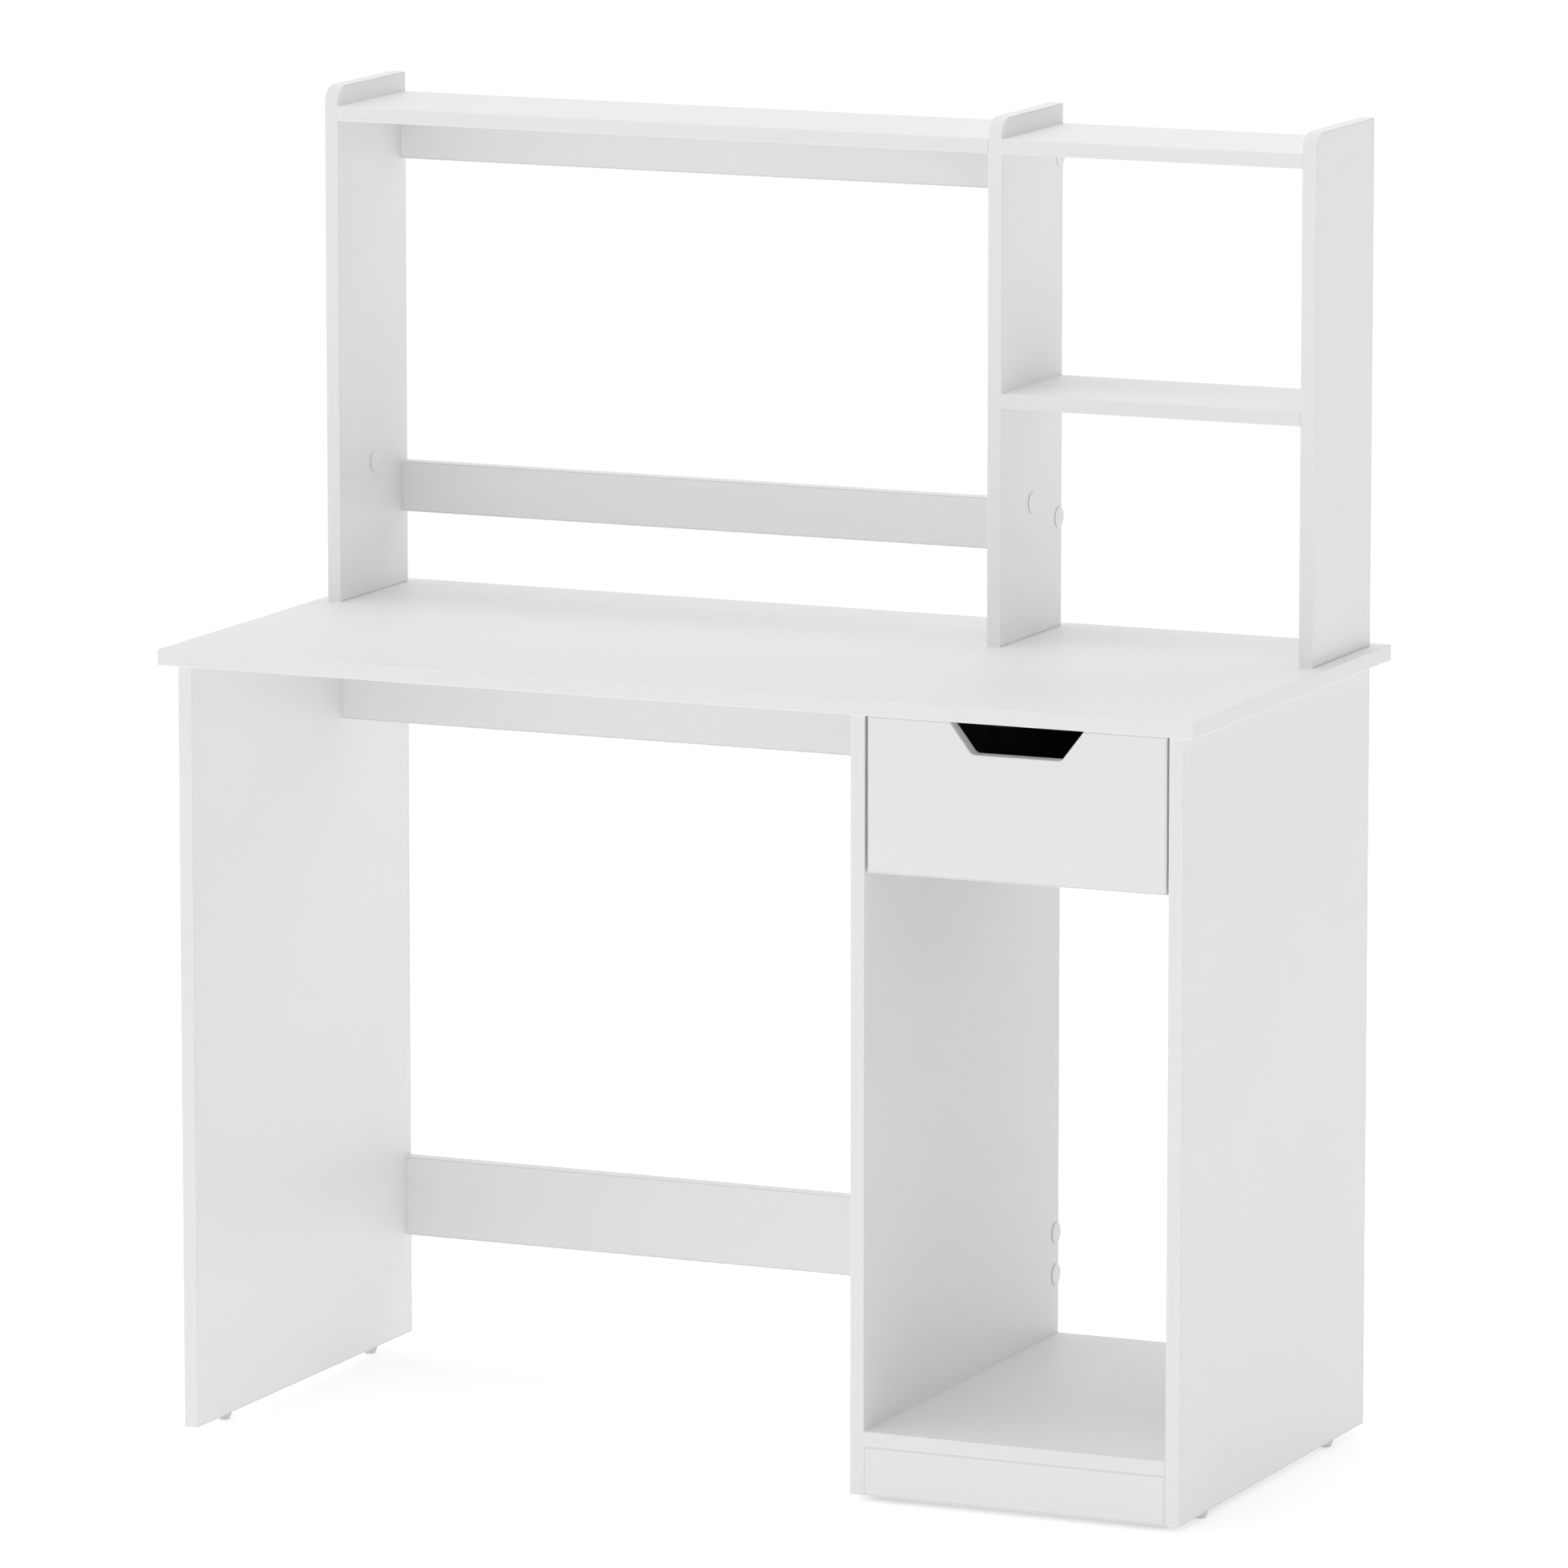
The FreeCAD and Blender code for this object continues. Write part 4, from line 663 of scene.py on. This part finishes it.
def beech_material(colour):
    """Bare beech with its short ray flecks."""
    material, tree, shader = new_material("bare_beech", roughness=0.62)
    place = object_place(tree)
    stretched = add_node(tree, "ShaderNodeMapping")
    feed(tree, stretched.inputs["Vector"], place)
    stretched.inputs["Scale"].default_value = FLECKS_PER_METRE
    grain = noise(tree, stretched.outputs[0], size=1.0)
    feed(tree, shader.inputs["Base Color"], mottle(tree, grain, colour, BEECH_SHADES))
    raise_bump(tree, shader, grain, depth=0.05 * MM, strength=0.5)
    return material


def floor_material(colour, glow):
    """A plain pale floor, lit from below as a studio sweep is, and a little more so far away."""
    material, tree, shader = new_material("studio_floor", roughness=0.75)
    shader.inputs["Base Color"].default_value = solid(colour)
    shader.inputs["Specular IOR Level"].default_value = 0.1
    distance = compute_vector(tree, "LENGTH", object_place(tree))
    feed(tree, shader.inputs["Emission Color"], ramp(tree, distance, GLOW_START, GLOW_END, NEAR_GLOW, 1.0))
    shader.inputs["Emission Strength"].default_value = glow
    return material


# Mesh helpers


def dress(node, material):
    """Gives a kept CAD node a material."""
    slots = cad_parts[node].data.materials
    slots.clear()
    slots.append(material)


def add_piece(name, mesh, material=None):
    """A mesh object at the origin."""
    piece = bpy.data.objects.new(name, mesh)
    bpy.context.collection.objects.link(piece)
    if material is not None:
        mesh.materials.clear()
        mesh.materials.append(material)
    return piece


def finish_piece(piece, body, slot, *nodes):
    """Makes a piece ride on a body and stand for CAD nodes, which it hides; its slot is not used."""
    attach(piece, body)
    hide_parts(*nodes)


def smooth(mesh):
    """Smooth shading that leaves the sharp edges sharp."""
    for polygon in mesh.polygons:
        polygon.use_smooth = True
    mesh.set_sharp_from_angle(angle=SHARP_ANGLE)


def merged_copy(node):
    """A CAD node's mesh as a joined bmesh."""
    work = bmesh.new()
    work.from_mesh(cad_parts[node].data)
    bmesh.ops.remove_doubles(work, verts=work.verts, dist=MERGE_DISTANCE)
    return work


def loose_solids(node):
    """The lowest and highest corner of each separate solid of a CAD node."""
    work = merged_copy(node)
    left = set(work.verts)
    boxes = []
    while left:
        start = left.pop()
        group = [start]
        queue = [start]
        while queue:
            for edge in queue.pop().link_edges:
                for vertex in edge.verts:
                    if vertex in left:
                        left.discard(vertex)
                        group.append(vertex)
                        queue.append(vertex)
        low = Vector([min(vertex.co[axis] for vertex in group) for axis in range(3)])
        high = Vector([max(vertex.co[axis] for vertex in group) for axis in range(3)])
        boxes.append((low, high))
    work.free()
    return sorted(boxes, key=lambda box: tuple(round(value, SORT_DECIMALS) for value in box[0]))


def lathe(work, profile, turn=Matrix.Identity(4)):
    """Turns a profile of (radius, height) points about Z. Points of radius 0 close the ends."""
    rings = []
    for radius, height in profile:
        if radius == 0:
            rings.append([work.verts.new(turn @ Vector((0, 0, height)))])
            continue
        ring = []
        for step in range(ROUND_STEPS):
            angle = 2 * math.pi * step / ROUND_STEPS
            place = Vector((radius * math.cos(angle), radius * math.sin(angle), height))
            ring.append(work.verts.new(turn @ place))
        rings.append(ring)
    for lower, upper in zip(rings, rings[1:]):
        for step in range(ROUND_STEPS):
            after = (step + 1) % ROUND_STEPS
            if len(lower) == 1:
                work.faces.new((lower[0], upper[after], upper[step]))
            elif len(upper) == 1:
                work.faces.new((lower[step], lower[after], upper[0]))
            else:
                work.faces.new((lower[step], lower[after], upper[after], upper[step]))
    return rings


def mesh_from(work, name):
    """A mesh with its faces turned outwards."""
    bmesh.ops.recalc_face_normals(work, faces=work.faces)
    mesh = bpy.data.meshes.new(name)
    work.to_mesh(mesh)
    work.free()
    smooth(mesh)
    return mesh


def facing(direction):
    """The turn that points +Z along a direction."""
    return Vector(direction).to_track_quat("Z", "Y").to_matrix().to_4x4()


# Geometry Nodes helpers


def new_geometry_tree(name, inputs):
    """A geometry node tree with named inputs, and its two end nodes."""
    tree = bpy.data.node_groups.new(name, "GeometryNodeTree")
    tree.interface.new_socket("Geometry", in_out="INPUT", socket_type="NodeSocketGeometry")
    for label, kind in inputs:
        tree.interface.new_socket(label, in_out="INPUT", socket_type=kind)
    tree.interface.new_socket("Geometry", in_out="OUTPUT", socket_type="NodeSocketGeometry")
    return tree, add_node(tree, "NodeGroupInput"), add_node(tree, "NodeGroupOutput")


def end_tree(tree, leave, instances, material):
    """Realizes the instances and sets their material."""
    real = add_node(tree, "GeometryNodeRealizeInstances")
    feed(tree, real.inputs[0], instances)
    paint = add_node(tree, "GeometryNodeSetMaterial")
    feed(tree, paint.inputs["Geometry"], real.outputs[0])
    feed(tree, paint.inputs["Material"], material)
    feed(tree, leave.inputs["Geometry"], paint.outputs[0])


def points_mesh(name, places):
    """Loose points, each with the turn that its copy takes."""
    mesh = bpy.data.meshes.new(name)
    mesh.from_pydata([tuple(place) for place, _ in places], [], [])
    turns = mesh.attributes.new("turn", "FLOAT_VECTOR", "POINT")
    for number, (_, turn) in enumerate(places):
        turns.data[number].vector = turn.to_euler()
    return mesh


def bake_tree(name, tree, base, values):
    """The plain mesh that a geometry tree makes of a base mesh and its named inputs."""
    holder = bpy.data.objects.new(f"{name}_holder", base)
    bpy.context.collection.objects.link(holder)
    modifier = holder.modifiers.new(name, "NODES")
    modifier.node_group = tree
    names = {item.name: item.identifier for item in tree.interface.items_tree if item.in_out == "INPUT"}
    for label, value in values.items():
        modifier[names[label]] = value
    graph = bpy.context.evaluated_depsgraph_get()
    mesh = bpy.data.meshes.new_from_object(holder.evaluated_get(graph))
    mesh.name = name
    holder.modifiers.clear()
    bpy.data.objects.remove(holder)
    smooth(mesh)
    return mesh


def copies_tree():
    """Copies of a pattern object on turned points."""
    tree, entry, leave = new_geometry_tree(TURNED_COPIES, (
        ("Pattern", "NodeSocketObject"), ("Size", "NodeSocketFloat"), ("Material", "NodeSocketMaterial"),
    ))
    pattern = add_node(tree, "GeometryNodeObjectInfo")
    feed(tree, pattern.inputs["Object"], entry.outputs["Pattern"])
    turn = add_node(tree, "GeometryNodeInputNamedAttribute", data_type="FLOAT_VECTOR")
    turn.inputs["Name"].default_value = "turn"
    copies = add_node(tree, "GeometryNodeInstanceOnPoints")
    feed(tree, copies.inputs["Points"], entry.outputs["Geometry"])
    feed(tree, copies.inputs["Instance"], pattern.outputs["Geometry"])
    feed(tree, copies.inputs["Rotation"], turn.outputs["Attribute"])
    feed(tree, copies.inputs["Scale"], entry.outputs["Size"])
    end_tree(tree, leave, copies.outputs[0], entry.outputs["Material"])
    return tree


def copy_pattern(name, pattern_mesh, places, material):
    """One mesh of a pattern's copies on turned points."""
    tree = bpy.data.node_groups.get(TURNED_COPIES) or copies_tree()
    pattern = add_piece(f"{name}_pattern", pattern_mesh)
    mesh = bake_tree(name, tree, points_mesh(f"{name}_points", places), {
        "Pattern": pattern, "Size": 1.0, "Material": material,
    })
    bpy.data.objects.remove(pattern)
    return mesh


# Operators


class DESK_OT_dress_boards(bpy.types.Operator):
    """Gives every white board its laminate and edge strips"""

    bl_idname = "desk.dress_boards"
    bl_label = "Dress Boards"

    def execute(self, context):
        settings = context.scene.desk_boards
        colours = (settings.laminate, settings.edging, settings.glue_line)
        for node, axis in CARCASS_BOARDS.items():
            dress(node, board_material(node, axis, settings, *colours))
        return {"FINISHED"}


class DESK_OT_dress_drawer(bpy.types.Operator):
    """Gives the drawer box its near-black colour, painted shade for the dark inside of the closed drawer,
    and its hardboard bottom
    """

    bl_idname = "desk.dress_drawer"
    bl_label = "Dress Drawer"

    def execute(self, context):
        settings = context.scene.desk_boards
        strip_shade = 1.3
        # Painted shade: the drawer's boards and their strips are near-black for the dark inside of the
        # closed drawer
        dark = settings.drawer_laminate
        strip = [part * strip_shade for part in dark]
        for node, axis in DRAWER_BOARDS.items():
            dress(node, board_material(node, axis, settings, dark, strip, dark))
        dress("drawer_bottom", hardboard_material(settings))
        return {"FINISHED"}


class DESK_OT_make_caps(bpy.types.Operator):
    """Makes the domed cover caps and the plugs of the unused holes"""

    bl_idname = "desk.make_caps"
    bl_label = "Make Caps"

    def execute(self, context):
        settings = context.scene.desk_fittings
        plastic = plastic_material("cap_plastic", settings.plastic, pit=0.35 * MM, roughness=0.36)
        left_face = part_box("left_side_panel")[0].x
        for node in ("screw_cover_caps", "spare_hole_plugs"):
            places = []
            for low, high in loose_solids(node):
                looks_left = high.x < left_face + MM
                face = high.x if looks_left else high.x - settings.cap_height
                direction = -1 if looks_left else 1
                place = Vector((face, (low.y + high.y) / 2, (low.z + high.z) / 2))
                places.append((place, facing((direction, 0, 0))))
                radius = (high.z - low.z) / 2
            pattern = cap_pattern(radius, settings.cap_height, settings.cap_lip)
            piece = add_piece(f"{node}_domed", copy_pattern(f"{node}_domed", pattern, places, plastic))
            finish_piece(piece, "desk", "white_plastic", node)
        return {"FINISHED"}


def cap_pattern(radius, height, lip):
    """A cap whose rounded rim overhangs its foot, under a low dome."""
    foot = height * CAP_FOOT
    edge = height * CAP_EDGE
    profile = [
        (0, 0),
        (radius - lip, 0),
        (radius - lip, foot * FOOT_WALL),
        (radius - lip * RIM_INSET, foot),
        (radius, (foot + edge) / 2),
    ]
    for step in range(1, DOME_STEPS):
        angle = math.pi / 2 * step / DOME_STEPS
        rise = (height - edge) * math.sin(angle)
        profile.append((radius * math.cos(angle) ** DOME_FLATNESS, edge + rise))
    profile.append((0, height))
    work = bmesh.new()
    lathe(work, profile)
    return mesh_from(work, "cap")


class DESK_OT_make_glides(bpy.types.Operator):
    """Makes the tapered nail-in foot glides"""

    bl_idname = "desk.make_glides"
    bl_label = "Make Glides"

    def execute(self, context):
        settings = context.scene.desk_fittings
        plastic = plastic_material(
            "glide_plastic", settings.glide_plastic, pit=0.4 * MM, roughness=0.45)
        panel_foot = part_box("left_side_panel")[0].z
        solids = loose_solids("foot_glides")
        low, high = solids[0]
        radius = (high.x - low.x) / 2
        foot = radius * settings.glide_taper
        dimple = 0.6 * MM
        dimple_floor = 2.0 * MM
        dimple_mouth = 2.3 * MM
        rounding = 0.6 * MM
        collar = 0.8 * MM
        slope = 1.2 * MM
        break_edge = 0.2 * MM
        work = bmesh.new()
        lathe(work, [
            (0, dimple),
            (dimple_floor, dimple),
            (dimple_mouth, 0),
            (foot - rounding, 0),
            (foot - rounding / 4, break_edge),
            (foot, rounding),
            (radius - break_edge, panel_foot - slope),
            (radius, panel_foot - collar),
            (radius, panel_foot - break_edge),
            (radius - break_edge, panel_foot),
            (0, panel_foot),
        ])
        places = []
        for low, high in solids:
            middle = (low + high) / 2
            places.append((Vector((middle.x, middle.y, 0)), Matrix.Identity(4)))
        mesh = copy_pattern("foot_glides_turned", mesh_from(work, "glide"), places, plastic)
        finish_piece(add_piece("foot_glides_turned", mesh), "desk", "glide_plastic", "foot_glides")
        return {"FINISHED"}


class DESK_OT_make_cams(bpy.types.Operator):
    """Makes the cam locks with their driver slots"""

    bl_idname = "desk.make_cams"
    bl_label = "Make Cams"

    def execute(self, context):
        settings = context.scene.desk_fittings
        zinc = metal_material("cast_zinc", settings.zinc, grain=1.2 * MM, roughness=0.42)
        for node, body in (("cam_locks", "desk"), ("drawer_cam_locks", "drawer")):
            solids = loose_solids(node)
            places = [cam_place(low, high) for low, high in solids]
            low, high = solids[0]
            height, _, width = sorted(high - low)
            pattern = cam_pattern(width / 2, height, settings.cross_width)
            mesh = copy_pattern(f"{node}_slotted", pattern, places, zinc)
            finish_piece(add_piece(f"{node}_slotted", mesh), body, "zinc_alloy", node)
        return {"FINISHED"}


def cam_place(low, high):
    """A cam's face centre, and the turn that points its slots out of the board it sits in."""
    size = high - low
    axis = min(range(3), key=lambda number: size[number])
    middle = (low + high) / 2
    for node in list(CARCASS_BOARDS) + list(DRAWER_BOARDS):
        board_low, board_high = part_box(node)
        if all(board_low[number] < middle[number] < board_high[number] for number in range(3)):
            break
    else:
        raise RuntimeError(f"a cam at {tuple(middle)} sits in no board")
    outwards = -1 if low[axis] - board_low[axis] < board_high[axis] - high[axis] else 1
    direction = Vector((0, 0, 0))
    direction[axis] = outwards
    place = middle.copy()
    place[axis] = low[axis] if outwards < 0 else high[axis]
    return place, facing(direction)


def cam_pattern(radius, height, slot):
    """A cam drum with a raised rim and a crossed driver recess in its face at z = 0."""
    break_edge = 0.3 * MM
    groove = 0.5 * MM
    hub = 0.15 * MM
    brim, groove_out, groove_in, hub_edge = (radius * share for share in CAM_GROOVE)
    work = bmesh.new()
    lathe(work, [
        (0, -height),
        (radius - break_edge, -height),
        (radius, -height + break_edge),
        (radius, -break_edge),
        (radius - break_edge, 0),
        (brim, 0),
        (groove_out, -groove),
        (groove_in, -groove),
        (hub_edge, -hub),
        (0, -hub),
    ])
    bmesh.ops.recalc_face_normals(work, faces=work.faces)
    drum = bpy.data.meshes.new("cam_drum")
    work.to_mesh(drum)
    work.free()
    holder = add_piece("cam_drum", drum)
    cutters = []
    for number in range(2):
        work = bmesh.new()
        turn = Matrix.Rotation(math.pi / 2 * number, 4, "Z")
        size = Matrix.Diagonal((radius * SLOT_REACH, slot, 2 * SLOT_DEPTH, 1))
        bmesh.ops.create_cube(work, size=1, matrix=turn @ size)
        mesh = bpy.data.meshes.new("cam_slot")
        work.to_mesh(mesh)
        work.free()
        cutters.append(add_piece(f"cam_slot_{number}", mesh))
    for cutter in cutters:
        cut = holder.modifiers.new("slot", "BOOLEAN")
        cut.operation = "DIFFERENCE"
        cut.object = cutter
    graph = bpy.context.evaluated_depsgraph_get()
    result = bpy.data.meshes.new_from_object(holder.evaluated_get(graph))
    for thing in (holder, *cutters):
        bpy.data.objects.remove(thing)
    smooth(result)
    return result


class DESK_OT_make_rollers(bpy.types.Operator):
    """Makes the runners' four nylon rollers"""

    bl_idname = "desk.make_rollers"
    bl_label = "Make Rollers"

    def execute(self, context):
        settings = context.scene.desk_fittings
        nylon = plastic_material("roller_nylon", settings.nylon, pit=0.5 * MM, roughness=0.33)
        for node in ROLLERS:
            low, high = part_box(node)
            middle = (low + high) / 2
            radius = (high.z - low.z) / 2
            half = (high.x - low.x) / 2
            bore = 2.05 * MM
            hub = bore + 1.5 * MM
            tyre = radius - 1.7 * MM
            slope = 0.3 * MM
            web = half - 1.1 * MM
            work = bmesh.new()
            side = [
                (bore, half - slope),
                (bore + slope, half),
                (hub, half),
                (hub + slope, web),
                (tyre - slope, web),
                (tyre, half),
            ]
            side += [(radius - inwards, half - along) for inwards, along in RIM_ROUNDING]
            profile = side + [(ring, -height) for ring, height in reversed(side)]
            rings = lathe(work, profile, Matrix.Translation(middle) @ facing((1, 0, 0)))
            for step in range(ROUND_STEPS):
                after = (step + 1) % ROUND_STEPS
                work.faces.new((rings[-1][step], rings[-1][after], rings[0][after], rings[0][step]))
            mesh = mesh_from(work, f"{node}_turned")
            finish_piece(add_piece(f"{node}_turned", mesh, nylon), node, "nylon", node)
        return {"FINISHED"}


class DESK_OT_make_runners(bpy.types.Operator):
    """Makes the folded runners with rounded bends and powder coat"""

    bl_idname = "desk.make_runners"
    bl_label = "Make Runners"

    def execute(self, context):
        coat = coat_material(context.scene.desk_fittings.coat)
        for node, body in RUNNERS.items():
            work = merged_copy(node)
            bmesh.ops.dissolve_limit(work, angle_limit=FLAT_ANGLE, verts=work.verts, edges=work.edges)
            mesh = mesh_from(work, f"{node}_folded")
            piece = add_piece(f"{node}_folded", mesh, coat)
            bend = piece.modifiers.new("bends", "BEVEL")
            bend.width = BEND_ROUNDING
            bend.segments = BEND_STEPS
            bend.limit_method = "ANGLE"
            bend.angle_limit = BEND_ANGLE
            finish_piece(piece, body, "runner_steel", node)
        return {"FINISHED"}


class DESK_OT_dress_fittings(bpy.types.Operator):
    """Gives the screws, bolts, rivets and dowels their metal and wood"""

    bl_idname = "desk.dress_fittings"
    bl_label = "Dress Fittings"

    def execute(self, context):
        settings = context.scene.desk_fittings
        steel = metal_material("plated_steel", settings.steel, grain=0.6 * MM, roughness=0.28)
        for node in STEEL_FITTINGS:
            dress(node, steel)
        beech = beech_material(settings.beech)
        for node in ("dowels", "drawer_dowels"):
            dress(node, beech)
        return {"FINISHED"}


class DESK_OT_set_stage(bpy.types.Operator):
    """Sets the floor, the soft lights and the camera"""

    bl_idname = "desk.set_stage"
    bl_label = "Set Stage"

    def execute(self, context):
        settings = context.scene.desk_stage
        half = settings.floor_size / 2
        mesh = bpy.data.meshes.new("floor")
        corners = [(-half, -half, 0), (half, -half, 0), (half, half, 0), (-half, half, 0)]
        mesh.from_pydata(corners, [], [(0, 1, 2, 3)])
        floor = add_piece("floor", mesh, floor_material(settings.floor, settings.floor_glow))
        set_sky(context, settings.sky, settings.sky_lean)
        for name, (bearing, height, power) in SOFTBOXES.items():
            add_softbox(name, math.radians(bearing), math.radians(height), power, settings)
        set_camera(context, settings)
        context.scene.view_settings.view_transform = "Standard"
        return {"FINISHED"}


def set_sky(context, strength, lean):
    """White light from all round, brighter towards one side by a lean of 0 to 1 along each axis."""
    world = bpy.data.worlds.new("studio")
    context.scene.world = world
    world.use_nodes = True
    tree = world.node_tree
    tree.nodes.clear()
    direction = add_node(tree, "ShaderNodeTexCoord").outputs["Generated"]
    share = compute(tree, "ADD", compute_vector(tree, "DOT_PRODUCT", direction, tuple(lean)), 1.0)
    light = add_node(tree, "ShaderNodeBackground")
    light.inputs["Color"].default_value = (1, 1, 1, 1)
    share = compute(tree, "MAXIMUM", share, 0.0)
    feed(tree, light.inputs["Strength"], compute(tree, "MULTIPLY", share, strength))
    output = add_node(tree, "ShaderNodeOutputWorld")
    tree.links.new(light.outputs[0], output.inputs["Surface"])


def add_softbox(name, bearing, height, power, settings):
    """A square soft light aimed at the desk's middle."""
    lamp = bpy.data.lights.new(name, "AREA")
    lamp.shape = "SQUARE"
    lamp.size = settings.softbox_side
    lamp.energy = power
    light = bpy.data.objects.new(name, lamp)
    level = math.cos(height)
    away = Vector((level * math.sin(bearing), -level * math.cos(bearing), math.sin(height)))
    light.location = SOFTBOX_TARGET + settings.softbox_distance * away
    light.rotation_euler = away.to_track_quat("Z", "Y").to_euler()
    bpy.context.collection.objects.link(light)


def set_camera(context, settings):
    """The long-lens camera to the right of the front."""
    camera = bpy.data.objects.new("camera", bpy.data.cameras.new("camera"))
    camera.data.sensor_width = SENSOR_WIDTH
    camera.data.lens = settings.camera_lens
    camera.data.clip_end = SIGHT
    camera.location = settings.camera_place
    camera.rotation_euler = (math.pi / 2 - settings.camera_dip, 0, settings.camera_yaw)
    context.collection.objects.link(camera)
    context.scene.camera = camera


class DESK_PT_steps(bpy.types.Panel):
    """Lists the steps that finish the desk"""

    bl_label = "Student Desk"
    bl_idname = "DESK_PT_steps"
    bl_space_type = "VIEW_3D"
    bl_region_type = "UI"
    bl_category = "Desk"

    def draw(self, context):
        for label in SETTINGS:
            group = getattr(context.scene, label)
            column = self.layout.column(align=True)
            for name in group.__annotations__:
                column.prop(group, name)
        for operator in OPERATORS:
            self.layout.operator(operator.bl_idname)


SETTINGS = {
    "desk_boards": DeskBoardSettings,
    "desk_fittings": DeskFittingSettings,
    "desk_stage": DeskStageSettings,
}
OPERATORS = (
    DESK_OT_dress_boards,
    DESK_OT_dress_drawer,
    DESK_OT_make_caps,
    DESK_OT_make_glides,
    DESK_OT_make_cams,
    DESK_OT_make_rollers,
    DESK_OT_make_runners,
    DESK_OT_dress_fittings,
    DESK_OT_set_stage,
)


def register():
    """Registers the classes and adds the settings to the scene."""
    for kind in (*SETTINGS.values(), *OPERATORS, DESK_PT_steps):
        bpy.utils.register_class(kind)
    for name, kind in SETTINGS.items():
        setattr(bpy.types.Scene, name, PointerProperty(type=kind))


def unregister():
    """Takes the settings off the scene and unregisters the classes."""
    for name in SETTINGS:
        delattr(bpy.types.Scene, name)
    for kind in reversed((*SETTINGS.values(), *OPERATORS, DESK_PT_steps)):
        bpy.utils.unregister_class(kind)


def main():
    """Registers the add-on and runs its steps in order."""
    register()
    for operator in OPERATORS:
        group, name = operator.bl_idname.split(".")
        getattr(getattr(bpy.ops, group), name)()


if __name__ == "__main__":
    main()
